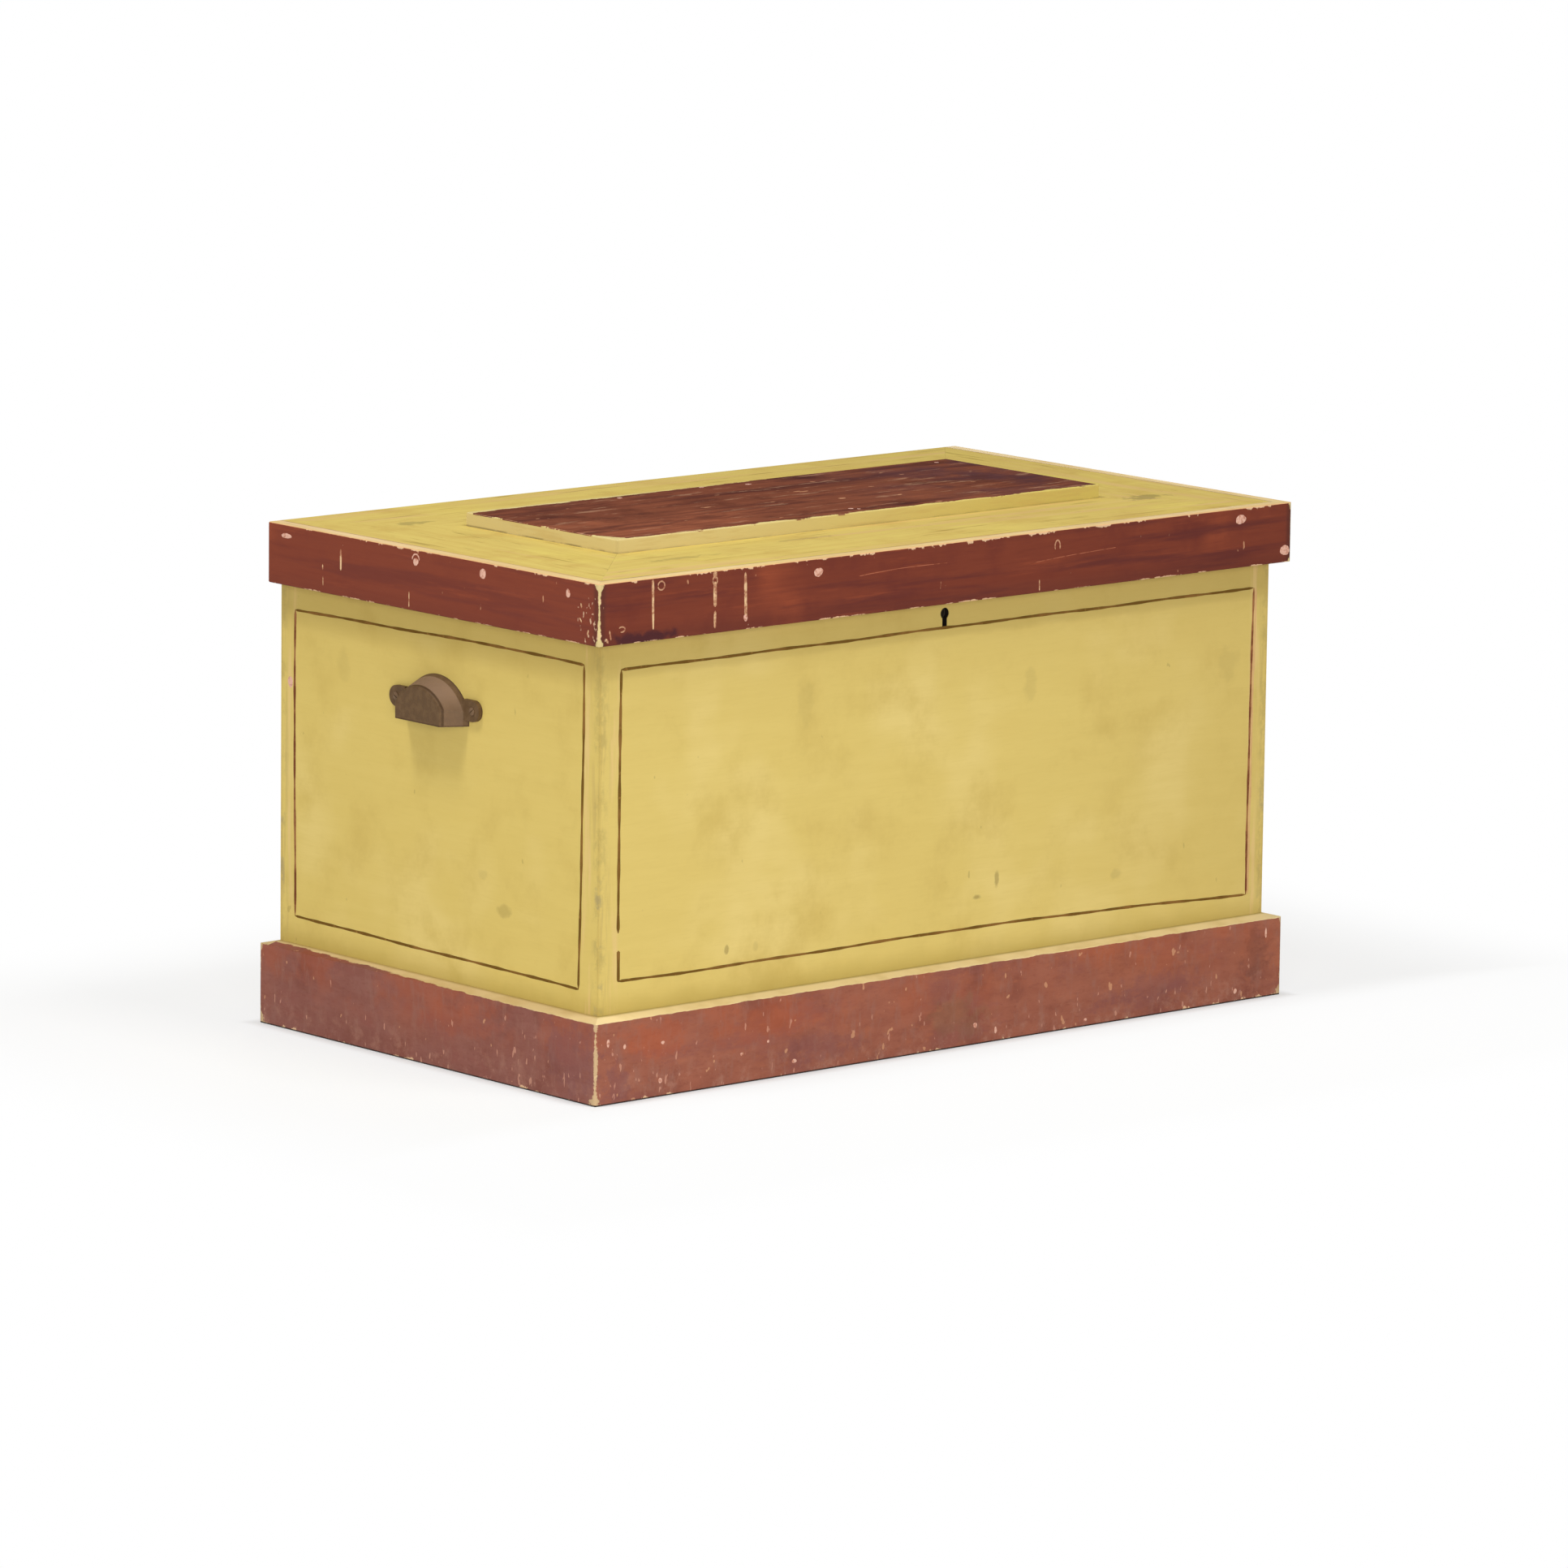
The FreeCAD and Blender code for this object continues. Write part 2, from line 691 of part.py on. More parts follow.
def handle(name, side):
    outside = tapered_arch(name + "_outside", "0", "handle_reach", "0")
    doc.recompute()
    rim = []
    for number, edge in enumerate(outside.Shape.Edges, start=1):
        on_front = edge.BoundBox.YMin > size("handle_reach") - size("handle_nose")
        if on_front and edge.BoundBox.ZMax > size("handle_nose"):
            rim.append((number, size("handle_nose"), size("handle_nose")))
    rounded = doc.addObject("Part::Fillet", name + "_rounded")
    rounded.Base = outside
    rounded.Edges = rim
    inside = tapered_arch(name + "_inside", "handle_wall", "handle_reach - handle_wall", "-overrun")
    solids = [rounded]
    for end, label in ((-1, "near"), (1, "far")):
        inner = f"{end} * (handle_width / 2 - handle_wall)"
        centre = f"{end} * (ear_span / 2 - ear_height / 2)"
        low, high = (inner, centre) if end > 0 else (centre, inner)
        tall = ("ear_lift", "ear_lift + ear_height")
        middle = "ear_lift + ear_height / 2"
        solids.append(box(f"{name}_{label}_tab", (low, high), ("0", "ear_thickness"), tall))
        solids.append(
            rod(f"{name}_{label}_round", "ear_height / 2", "ear_thickness", centre, "0", middle, FACING_BACK)
        )
    casting = cut(name + "_casting", fuse(name + "_blank", solids), [inside])
    turn = FreeCAD.Rotation(Z_AXIS, -90 * side)
    place(casting, x=f"{side} * case_width / 2", z=f"{CASE_TOP} - handle_drop", turn=turn)
    piece(casting, name)


for side, name in ((-1, "left"), (1, "right")):
    handle(f"{name}_handle", side)
    piece(place(pin_board(f"{name}_blank", side), z=CASE_BASE), f"{name}_end_board")


# The bottom: boards along the chest, tongued and grooved together under the case
BOTTOM_SHARE = f"(case_depth / {BOTTOM_BOARDS})"
for index, name in enumerate(("front", "middle", "back")):
    tongue_low = "((bottom_thickness - tongue_thickness) / 2)"
    tongue_high = "((bottom_thickness + tongue_thickness) / 2)"
    section = [("0", "bottom_thickness")]
    if index > 0:
        section += [
            ("0", f"{tongue_high} + joint_gap"),
            ("tongue_depth + joint_gap", f"{tongue_high} + joint_gap"),
            ("tongue_depth + joint_gap", f"{tongue_low} - joint_gap"),
            ("0", f"{tongue_low} - joint_gap"),
        ]
    section += [("0", "0"), (BOTTOM_SHARE, "0")]
    if index < BOTTOM_BOARDS - 1:
        section += [
            (BOTTOM_SHARE, tongue_low),
            (f"{BOTTOM_SHARE} + tongue_depth", tongue_low),
            (f"{BOTTOM_SHARE} + tongue_depth", tongue_high),
            (BOTTOM_SHARE, tongue_high),
        ]
    section += [(BOTTOM_SHARE, "bottom_thickness")]
    body = strip(f"bottom_{name}", section, "case_width", BOTTOM_SHARE)
    place(body, y=f"{index} * {BOTTOM_SHARE} - case_depth / 2", z="floor_gap")
    piece(body, f"bottom_board_{name}")


# The plinth: four mitred lengths round the foot of the case, rounded at the corners
PLINTH_SECTION = [
    ("0", "0"),
    ("arris - plinth_thickness", "0"),
    ("-plinth_thickness", "arris"),
    ("-plinth_thickness", "plinth_face"),
    ("0", "plinth_face + plinth_slope"),
]
PLINTH_HALF_WIDTH = "(case_width / 2 + plinth_thickness)"
PLINTH_HALF_DEPTH = "(case_depth / 2 + plinth_thickness)"
plinth_block = rounded_block(
    "plinth_block",
    rectangle(
        f"-{PLINTH_HALF_WIDTH}", PLINTH_HALF_WIDTH, f"-{PLINTH_HALF_DEPTH}", PLINTH_HALF_DEPTH
    ),
    "plinth_face + plinth_slope",
)
for name, span, x, y, angle in (
    ("front", "case_width", "0", "-case_depth / 2", 0),
    ("right", "case_depth", "case_width / 2", "0", 90),
    ("back", "case_width", "0", "case_depth / 2", 180),
    ("left", "case_depth", "-case_width / 2", "0", 270),
):
    body = strip(
        f"{name}_plinth",
        PLINTH_SECTION,
        f"{span} + 2 * plinth_thickness",
        "plinth_thickness",
        ("plinth_thickness", "plinth_thickness"),
    )
    place(body, x, y, turn=FreeCAD.Rotation(Z_AXIS, angle))
    piece(trim(f"{name}_plinth_trim", body, plinth_block), f"plinth_{name}")


# The lid's frame: four mitred members grooved on their inner edges for the panel
def frame_member(name, width, length, runs):
    groove_top = "lower_cheek + groove_height"
    section = [
        ("0", "0"),
        (f"-{width}", "0"),
        (f"-{width}", "lid_thickness"),
        ("0", "lid_thickness"),
        ("0", groove_top),
        ("-groove_depth", groove_top),
        ("-groove_depth", "lower_cheek"),
        ("0", "lower_cheek"),
    ]
    return strip(name, section, length, width, runs)


FRAME_WIDTH = f"2 * {FRAME_HALF_WIDTH}"
FRAME_DEPTH = f"({FRAME_FRONT} + case_depth / 2)"
FIELD_FRONT = f"({FRAME_FRONT} - stile_width)"
FIELD_BACK = "(case_depth / 2 - back_rail_width)"

front_rail = frame_member("front_rail", "stile_width", FRAME_WIDTH, ("stile_width", "stile_width"))
place(front_rail, y=f"-{FIELD_FRONT}", z=CASE_TOP)
strike_seat = box("strike_seat", strike_x, strike_y, (f"{CASE_TOP} - overrun", f"{CASE_TOP} + strike_plate"))
piece(cut("front_rail_cut", front_rail, [strike_seat]), "lid_front_rail")
back_rail = frame_member("back_rail", "back_rail_width", FRAME_WIDTH, ("stile_width", "stile_width"))
place(back_rail, y=FIELD_BACK, z=CASE_TOP, turn=FreeCAD.Rotation(Z_AXIS, 180))
piece(cut("back_rail_cut", back_rail, back_rail_cuts), "lid_back_rail")
for side, name, angle, runs in (
    (-1, "left", 270, ("back_rail_width", "stile_width")),
    (1, "right", 90, ("stile_width", "back_rail_width")),
):
    stile = frame_member(f"{name}_stile", "stile_width", FRAME_DEPTH, runs)
    place(
        stile,
        f"{side} * ({FRAME_HALF_WIDTH} - stile_width)",
        "-lid_clearance / 2",
        CASE_TOP,
        FreeCAD.Rotation(Z_AXIS, angle),
    )
    piece(stile, f"lid_{name}_stile")

# The raised panel: a thick board with a tongue all round, standing proud of its frame
panel = doc.addObject("PartDesign::Body", "panel")
tongue = "(groove_depth - shrink_gap)"
field = rectangle(
    f"-({FRAME_HALF_WIDTH} - stile_width - panel_gap)",
    f"{FRAME_HALF_WIDTH} - stile_width - panel_gap",
    f"-({FIELD_FRONT} - panel_gap)",
    f"{FIELD_BACK} - panel_gap",
)
edge = rectangle(
    f"-({FRAME_HALF_WIDTH} - stile_width + {tongue})",
    f"{FRAME_HALF_WIDTH} - stile_width + {tongue}",
    f"-({FIELD_FRONT} + {tongue})",
    f"{FIELD_BACK} + {tongue}",
)
pad(panel, sketch_on(panel, "panel_edge", "XY_Plane", [edge]), "groove_height - panel_gap")
field_pad = pad(panel, sketch_on(panel, "panel_field", "XY_Plane", [field]), "panel_thickness")
doc.recompute()
rim = []
for number, rim_edge in enumerate(field_pad.Shape.Edges, start=1):
    if rim_edge.BoundBox.ZMin > size("panel_thickness") - size("panel_arris"):
        rim.append(f"Edge{number}")
soften = panel.newObject("PartDesign::Fillet", "panel_rim")
soften.Base = (field_pad, rim)
bind(soften, "Radius", "panel_arris")
place(panel, z=f"{CASE_TOP} + lower_cheek")
piece(panel, "lid_panel")

# The skirt: three boards hung round the lid's edge, mitred and rounded at the front corners
SKIRT_SECTION = [
    ("0", "-skirt_drop"),
    ("arris - skirt_thickness", "-skirt_drop"),
    ("-skirt_thickness", "arris - skirt_drop"),
    ("-skirt_thickness", "lid_thickness - arris"),
    ("arris - skirt_thickness", "lid_thickness"),
    ("0", "lid_thickness"),
]
skirt_block = rounded_block(
    "skirt_block",
    rectangle(f"-{LID_HALF_WIDTH}", LID_HALF_WIDTH, f"-{LID_FRONT}", "case_depth / 2 + overrun"),
    "skirt_drop + lid_thickness",
)
place(skirt_block, z=f"{CASE_TOP} - skirt_drop")
body = strip(
    "front_skirt",
    SKIRT_SECTION,
    f"2 * {LID_HALF_WIDTH}",
    "skirt_thickness",
    ("skirt_thickness", "skirt_thickness"),
)
place(body, y=f"-{FRAME_FRONT}", z=CASE_TOP)
piece(trim("front_skirt_trim", body, skirt_block), "skirt_front")
for side, name, angle, runs in (
    (-1, "left", 270, ("0", "skirt_thickness")),
    (1, "right", 90, ("skirt_thickness", "0")),
):
    body = strip(
        f"{name}_skirt", SKIRT_SECTION, f"{LID_FRONT} + case_depth / 2", "skirt_thickness", runs
    )
    place(
        body,
        f"{side} * {FRAME_HALF_WIDTH}",
        "-(lid_clearance + skirt_thickness) / 2",
        CASE_TOP,
        FreeCAD.Rotation(Z_AXIS, angle),
    )
    piece(trim(f"{name}_skirt_trim", body, skirt_block), f"skirt_{name}")

doc.recompute()
for thing in doc.Objects:
    if "Invalid" in thing.State or "Error" in thing.State:
        raise RuntimeError(f"{thing.Name} failed: {thing.State}")
for thing in pieces:
    if thing.Shape.isNull() or not thing.Shape.isValid() or not thing.Shape.Solids:
        raise RuntimeError(f"{thing.Label} has no valid solid")

os.makedirs("parts", exist_ok=True)
for thing in pieces:
    thing.Shape.exportStep(f"parts/{thing.Label}.step")
    box_size = thing.Shape.BoundBox
    print(
        f"{thing.Label}: {len(thing.Shape.Solids)} solids, {thing.Shape.Volume / 1000:.1f} cm3, "
        f"x {box_size.XMin:.1f}..{box_size.XMax:.1f}, y {box_size.YMin:.1f}..{box_size.YMax:.1f}, "
        f"z {box_size.ZMin:.1f}..{box_size.ZMax:.1f}"
    )
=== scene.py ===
import math
from functools import partialmethod

import bpy
import numpy as np
from mathutils import Matrix, Vector


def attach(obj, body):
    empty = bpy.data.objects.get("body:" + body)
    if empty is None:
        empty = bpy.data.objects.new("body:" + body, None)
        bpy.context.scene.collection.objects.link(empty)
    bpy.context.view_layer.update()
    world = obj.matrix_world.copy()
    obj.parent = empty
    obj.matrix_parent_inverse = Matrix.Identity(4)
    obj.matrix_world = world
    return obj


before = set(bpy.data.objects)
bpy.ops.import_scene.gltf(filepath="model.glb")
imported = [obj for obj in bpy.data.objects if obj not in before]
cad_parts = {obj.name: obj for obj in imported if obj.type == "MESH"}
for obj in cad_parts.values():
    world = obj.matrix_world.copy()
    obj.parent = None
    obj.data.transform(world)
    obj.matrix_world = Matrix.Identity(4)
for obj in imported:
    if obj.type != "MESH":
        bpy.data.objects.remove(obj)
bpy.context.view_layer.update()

# %% [markdown]
# The camera stands where the photographer stood. Its place, direction and lens were worked out
# from the chest's straight edges, so the chest lands on the same spot of the picture. The three
# directions are the picture's right, down and forward, written in the chest's own frame.
#
# %% Camera
CAMERA_PLACE = (-6.5633, -7.5028, 1.9935)
PICTURE_RIGHT = (0.75357, -0.65725, 0.01211)
PICTURE_DOWN = (-0.10475, -0.13825, -0.98484)
PICTURE_FORWARD = (0.64896, 0.74089, -0.17304)

axes = Matrix((PICTURE_RIGHT, -Vector(PICTURE_DOWN), -Vector(PICTURE_FORWARD))).transposed()
camera_data = bpy.data.cameras.new("photograph_camera")
camera_data.sensor_width = 36
camera_data.lens = 219.09
camera_data.clip_end = 100
camera = bpy.data.objects.new("photograph_camera", camera_data)
camera.matrix_world = Matrix.Translation(CAMERA_PLACE) @ axes.to_quaternion().to_matrix().to_4x4()
bpy.context.scene.collection.objects.link(camera)
bpy.context.scene.camera = camera
print("camera at", CAMERA_PLACE, "lens", camera_data.lens)

# %% [markdown]
# Shader nodes could be placed one by one, with a line for each socket. A small helper keeps every
# material to a few readable lines: any input takes a number, a colour or another node's output.
#
# %% Node helper
def colour(red, green, blue):
    """A colour given in 0 to 255, as the linear colour that Blender needs."""
    scaled = np.array((red, green, blue)) / 255
    linear = np.where(scaled <= 0.04045, scaled / 12.92, ((scaled + 0.055) / 1.055) ** 2.4)
    return (*linear.tolist(), 1.0)


class Graph:
    """Adds shader nodes to one node tree and joins them."""

    def __init__(self, tree):
        self.tree = tree

    def feed(self, socket, value):
        if isinstance(value, bpy.types.NodeSocket):
            self.tree.links.new(value, socket)
        elif socket.type == "RGBA" and len(value) == 3:
            socket.default_value = colour(*value)
        elif value is not None:
            socket.default_value = value

    def node(self, kind, *values, **settings):
        made = self.tree.nodes.new("ShaderNode" + kind)
        for key, value in settings.items():
            setattr(made, key, value)
        for socket, value in zip(made.inputs, values):
            self.feed(socket, value)
        return made

    def math(self, operation, a, b=None):
        return self.node("Math", a, b, operation=operation).outputs[0]

    def vector(self, operation, a, b=None):
        return self.node("VectorMath", a, b, operation=operation).outputs[0]

    def stretched(self, vector, stretch):
        return self.vector("MULTIPLY", vector, stretch)

    def parts(self, vector):
        return self.node("SeparateXYZ", vector).outputs

    def place(self):
        return self.node("TexCoord").outputs["Object"]

    def here(self):
        """The shaded point and its three numbers."""
        spot = self.place()
        return spot, *self.parts(spot)

    def mix(self, factor, a, b):
        made = self.node("Mix", factor, data_type="RGBA")
        self.feed(made.inputs[6], a)
        self.feed(made.inputs[7], b)
        return made.outputs[2]

    def tint(self, shade, mask, strength, tone):
        """Turns the shade towards the tone where the mask is, as far as the strength says."""
        return self.mix(self.times(mask, strength), shade, tone)

    def smooth(self, value, start, stop, low=0.0, high=1.0):
        """Low before start, high after stop, and a soft step between."""
        made = self.node("MapRange", value, start, stop, low, high, interpolation_type="SMOOTHSTEP")
        return made.outputs[0]

    def noise(self, vector, scale, detail=3.0, roughness=0.5):
        made = self.node("TexNoise", vector)
        made.inputs["Scale"].default_value = scale
        made.inputs["Detail"].default_value = detail
        made.inputs["Roughness"].default_value = roughness
        return made.outputs[0]

    def use(self, group, **values):
        made = self.node("Group", node_tree=group)
        for name, value in values.items():
            self.feed(made.inputs[name], value)
        return made.outputs

    def mask(self, group, **values):
        return self.use(group, **values)["Mask"]


SUMS = {
    "plus": "ADD", "minus": "SUBTRACT", "times": "MULTIPLY", "least": "MINIMUM", "most": "MAXIMUM",
    "above": "GREATER_THAN", "below": "LESS_THAN", "size": "ABSOLUTE",
}  # size is the number without its sign
for word, operation in SUMS.items():
    setattr(Graph, word, partialmethod(Graph.math, operation))


def new_group(name, inputs, outputs):
    """An empty node group, with its inputs and outputs named."""
    tree = bpy.data.node_groups.new(name, "ShaderNodeTree")
    for label, kind, value in inputs:
        socket = tree.interface.new_socket(label, in_out="INPUT", socket_type="NodeSocket" + kind)
        socket.default_value = value
    for label, kind in outputs:
        tree.interface.new_socket(label, in_out="OUTPUT", socket_type="NodeSocket" + kind)
    start = tree.nodes.new("NodeGroupInput").outputs
    end = tree.nodes.new("NodeGroupOutput").inputs
    print("group", name)
    return tree, Graph(tree), start, end


# %% [markdown]
# Paint wears first along the arrises. Pointiness or a bevel shader would find them, but neither
# survives the export, so the distance to the nearest edge of a plain box is worked out instead: on
# a face one of the three face distances is nought, and the middle one is the distance to the edge.
#
# %% Edge distance and wear
edge_distance, g, start, end = new_group(
    "edge_distance",
    [("Low", "Vector", (0, 0, 0)), ("High", "Vector", (1, 1, 1))],
    [("Distance", "Float")],
)
spot = g.place()
to_low = g.vector("SUBTRACT", spot, start["Low"])
to_high = g.vector("SUBTRACT", start["High"], spot)
x, y, z = g.parts(g.vector("ABSOLUTE", g.vector("MINIMUM", to_low, to_high)))
g.feed(end["Distance"], g.most(g.least(x, y), g.least(g.most(x, y), z)))

worn_edge, g, start, end = new_group(
    "worn_edge",
    [("Distance", "Float", 1.0), ("Width", "Float", 0.003), ("Ragged", "Float", 1.0)],
    [("Mask", "Float")],
)
spot = g.place()
rough = g.minus(g.noise(spot, 260, 4, 0.65), 0.5)
patchy = g.minus(g.noise(spot, 22, 3), 0.5)
ragged = g.times(g.plus(rough, g.times(patchy, 1.2)), start["Ragged"])
reach = g.plus(g.math("DIVIDE", start["Distance"], start["Width"]), g.times(ragged, 2.2))
g.feed(end["Mask"], g.smooth(reach, 1.1, 0.8))

# %% [markdown]
# The chest carries small losses of paint everywhere, and a few soft dirty patches in fixed places.
# The first are a stretched noise cut off high, so that only its peaks are left. The second are
# ellipsoids with a ragged rim, set where the photograph shows them.
#
# %% Flecks and smudges
flecks, g, start, end = new_group(
    "flecks",
    [("Stretch", "Vector", (1, 1, 1)), ("Scale", "Float", 90.0), ("Cut", "Float", 0.7)],
    [("Mask", "Float")],
)
noise = g.node("TexNoise", g.stretched(g.place(), start["Stretch"]))
g.feed(noise.inputs["Scale"], start["Scale"])
noise.inputs["Detail"].default_value = 2.0
g.feed(end["Mask"], g.smooth(g.minus(noise.outputs[0], start["Cut"]), 0.0, 0.025))

smudge, g, start, end = new_group(
    "smudge",
    [("Centre", "Vector", (0, 0, 0)), ("Radii", "Vector", (1, 1, 1)), ("Ragged", "Float", 0.5)],
    [("Mask", "Float")],
)
away = g.vector("DIVIDE", g.vector("SUBTRACT", g.place(), start["Centre"]), start["Radii"])
length = g.node("VectorMath", away, operation="LENGTH").outputs["Value"]
rim = g.times(g.minus(g.noise(g.place(), 70, 4, 0.6), 0.5), start["Ragged"])
g.feed(end["Mask"], g.smooth(g.plus(length, g.times(rim, 3.0)), 1.1, 0.45))

# %% [markdown]
# The yellow is an old oil paint: broad cloudy patches, brush streaks along each board, and a
# little grain showing through as it sank into the wood. A single noise looks like camouflage, so
# three sizes are laid over each other, each weaker than the last.
#
# %% Aged paint
aged_paint, g, start, end = new_group(
    "aged_paint",
    [
        ("Colour", "Color", (1, 1, 1, 1)),
        ("Pale", "Color", (1, 1, 1, 1)),
        ("Deep", "Color", (0, 0, 0, 1)),
        ("Stretch", "Vector", (1, 1, 1)),
        ("Streaks", "Float", 0.5),
    ],
    [("Colour", "Color"), ("Roughness", "Float"), ("Height", "Float")],
)
spot = g.place()
along = g.stretched(spot, start["Stretch"])
clouds = g.noise(spot, 5.5, 3, 0.55)
brush = g.noise(along, 75, 5, 0.6)
grain = g.noise(along, 420, 3, 0.6)
shade = g.mix(g.smooth(clouds, 0.5, 0.68), start["Colour"], start["Pale"])
shade = g.mix(g.smooth(g.noise(spot, 13, 5, 0.62), 0.47, 0.8), shade, start["Deep"])
half_deep = g.mix(0.5, start["Deep"], shade)
shade = g.tint(shade, g.smooth(brush, 0.35, 0.65), start["Streaks"], half_deep)
shade = g.tint(shade, g.smooth(grain, 0.5, 0.7), g.times(start["Streaks"], 0.5), start["Deep"])
g.feed(end["Colour"], shade)
g.feed(end["Roughness"], g.smooth(brush, 0.3, 0.7, 0.62, 0.78))
g.feed(end["Height"], g.plus(g.times(brush, 0.7), g.times(grain, 0.3)))

# %% [markdown]
# Inside, underneath and on the hidden faces the boards are bare softwood, browned with age. Its
# figure is growth rings cut along the board: bands of a wave that a noise bends, with fine pores
# stretched the same way.
#
# %% Bare wood
bare_wood, g, start, end = new_group(
    "bare_wood",
    [("Stretch", "Vector", (1, 1, 1))],
    [("Colour", "Color"), ("Roughness", "Float"), ("Height", "Float")],
)
along = g.stretched(g.place(), start["Stretch"])
bent = g.node("TexNoise", along)
bent.inputs["Scale"].default_value = 6.0
rings = g.node("TexWave", g.vector("ADD", along, g.stretched(bent.outputs[1], (0.12, 0.12, 0.12))))
rings.bands_direction = "DIAGONAL"
rings.inputs["Scale"].default_value = 12.0
rings.inputs["Distortion"].default_value = 3.0
rings.inputs["Detail"].default_value = 3.0
pores = g.noise(along, 500, 3, 0.6)
age = g.noise(g.place(), 7, 4, 0.6)
wood = g.mix(rings.outputs[1], (188, 148, 98), (160, 117, 70))
wood = g.mix(g.smooth(pores, 0.5, 0.75), wood, (118, 82, 47))
wood = g.mix(g.smooth(age, 0.45, 0.75), wood, (132, 100, 68))
g.feed(end["Colour"], wood)
g.feed(end["Roughness"], g.smooth(pores, 0.3, 0.7, 0.62, 0.8))
g.feed(end["Height"], g.plus(g.times(rings.outputs[1], 0.5), pores))

# %% [markdown]
# Each material keeps its own Principled shader, and the groups only feed it. The bump's depth is
# small, since a coat of paint is a tenth of a millimetre thick. The four stretches draw a noise
# out along the boards, level round the case, or upwards.
#
# %% Material shell
YELLOW, YELLOW_PALE, YELLOW_DEEP = (219, 194, 111), (226, 202, 124), (205, 178, 97)
RED, RED_DEEP = (122, 56, 37), (104, 44, 34)
CREAM, GRIME = (229, 190, 148), (120, 98, 52)
ALONG_X, ALONG_Y = (0.06, 1.0, 1.0), (1.0, 0.06, 1.0)
LEVEL, UPRIGHT = (0.1, 0.1, 1.0), (1.0, 1.0, 0.08)


def new_material(name, specular=0.2):
    """A material with a Principled shader, and the graph that feeds it."""
    made = bpy.data.materials.new(name)
    made.use_nodes = True
    shader = made.node_tree.nodes["Principled BSDF"]
    shader.inputs["Specular IOR Level"].default_value = specular
    return made, Graph(made.node_tree), shader.inputs


def finish_surface(g, shader, shade, coat, depth=0.0003):
    """Feeds the shader a colour, and the coat's roughness and height."""
    g.feed(shader["Base Color"], shade)
    g.feed(shader["Roughness"], coat["Roughness"])
    bump = g.node("Bump")
    bump.inputs["Strength"].default_value = 0.6
    bump.inputs["Distance"].default_value = depth
    g.feed(bump.inputs["Height"], coat["Height"])
    g.feed(shader["Normal"], bump.outputs[0])


def dress(material, *names):
    """Puts a material on CAD nodes."""
    for name in names:
        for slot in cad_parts[name].material_slots:
            slot.material = material
    print(material.name, "on", ", ".join(names))


# %% [markdown]
# The case is an ochre yellow with a few dirty patches. An image could hold them, but ellipsoids
# need none and stay sharp. Each row is a place along the face, a height, the reach along and up,
# and a strength.
#
# %% Case paint
CASE_X, CASE_Y, CASE_FOOT = 0.4655, 0.2595, 0.089
SKIN = 0.0008  # a point this near to a face counts as on it
THROUGH = 0.02  # how far a smudge reaches in from its face
FRONT_SMUDGES = [
    (0.079, 0.169, 0.0035, 0.010, 0.45),
    (0.051, 0.153, 0.007, 0.0035, 0.5),
    (-0.294, 0.137, 0.003, 0.006, 0.45),
    (-0.255, 0.137, 0.004, 0.006, 0.12),
    (0.122, 0.370, 0.010, 0.022, 0.12),
    (0.409, 0.368, 0.016, 0.024, 0.14),
    (0.25, 0.155, 0.009, 0.007, 0.18),
    (-0.19, 0.385, 0.014, 0.030, 0.1),
]
LEFT_SMUDGES = [
    (-0.076, 0.209, 0.010, 0.006, 0.14),
    (-0.109, 0.176, 0.014, 0.008, 0.3),
    (0.155, 0.395, 0.012, 0.018, 0.1),
]


def on_front(face_y, rows):
    """Centre, radii and the rest of each smudge on a face that looks to the front."""
    return [((x, face_y, z), (wide, THROUGH, tall), *rest) for x, z, wide, tall, *rest in rows]


def on_end(face_x, rows):
    """Centre, radii and the rest of each smudge on an end face."""
    return [((face_x, y, z), (THROUGH, wide, tall), *rest) for y, z, wide, tall, *rest in rows]


def dirty_yellow(g):
    """The case's yellow with its smudges and specks."""
    paint = g.use(aged_paint, Colour=YELLOW, Pale=YELLOW_PALE, Deep=YELLOW_DEEP, Stretch=LEVEL, Streaks=0.28)
    shade = paint["Colour"]
    for centre, radii, strength in on_front(-CASE_Y, FRONT_SMUDGES) + on_end(-CASE_X, LEFT_SMUDGES):
        shade = g.tint(shade, g.mask(smudge, Centre=centre, Radii=radii), strength, GRIME)
    specks = g.mask(flecks, Stretch=(1, 1, 0.6), Scale=70.0, Cut=0.745)
    return g.tint(shade, specks, 0.3, GRIME), paint


# %% [markdown]
# The case turns darker and greener just above the plinth, and under the skirt the photograph is
# darker than a render's own shadow. Weaker fill light would darken everything, so a painted shade
# deepens it on every board but the back. A painted shade also darkens the boards towards the right end.
#
# %% Case shade
def shaded(g, shade, spot, ends, ragged):
    """The case darker at its foot, with painted shade under the lid and towards the right, and yellower on
    its ends.
    """
    x, y, z = g.parts(spot)
    low = g.smooth(g.plus(z, g.times(ragged, 0.4)), CASE_FOOT + 0.026, CASE_FOOT)
    wavy = g.plus(z, g.times(ragged, 0.25))
    # painted shade under the skirt, deepening the render's own shadow on every board but the back, and
    # fainter over the upper case
    rise = g.smooth(wavy, g.smooth(ends, 0.0, 1.0, 0.426, 0.410), 0.438, 0.0, 0.3)
    painted_skirt_shade = g.times(rise, g.below(y, CASE_Y - SKIN))
    shade = g.tint(shade, low, 0.42, (172, 150, 72))
    shade = g.mix(g.most(painted_skirt_shade, g.smooth(z, 0.34, 0.43, 0.0, 0.1)), shade, (158, 128, 64))
    # painted shade: the boards darken towards the right end
    shade = g.mix(g.smooth(x, 0.1, 0.46, 0.0, 0.24), shade, (194, 166, 92))
    return g.tint(shade, ends, 0.12, (206, 176, 76))


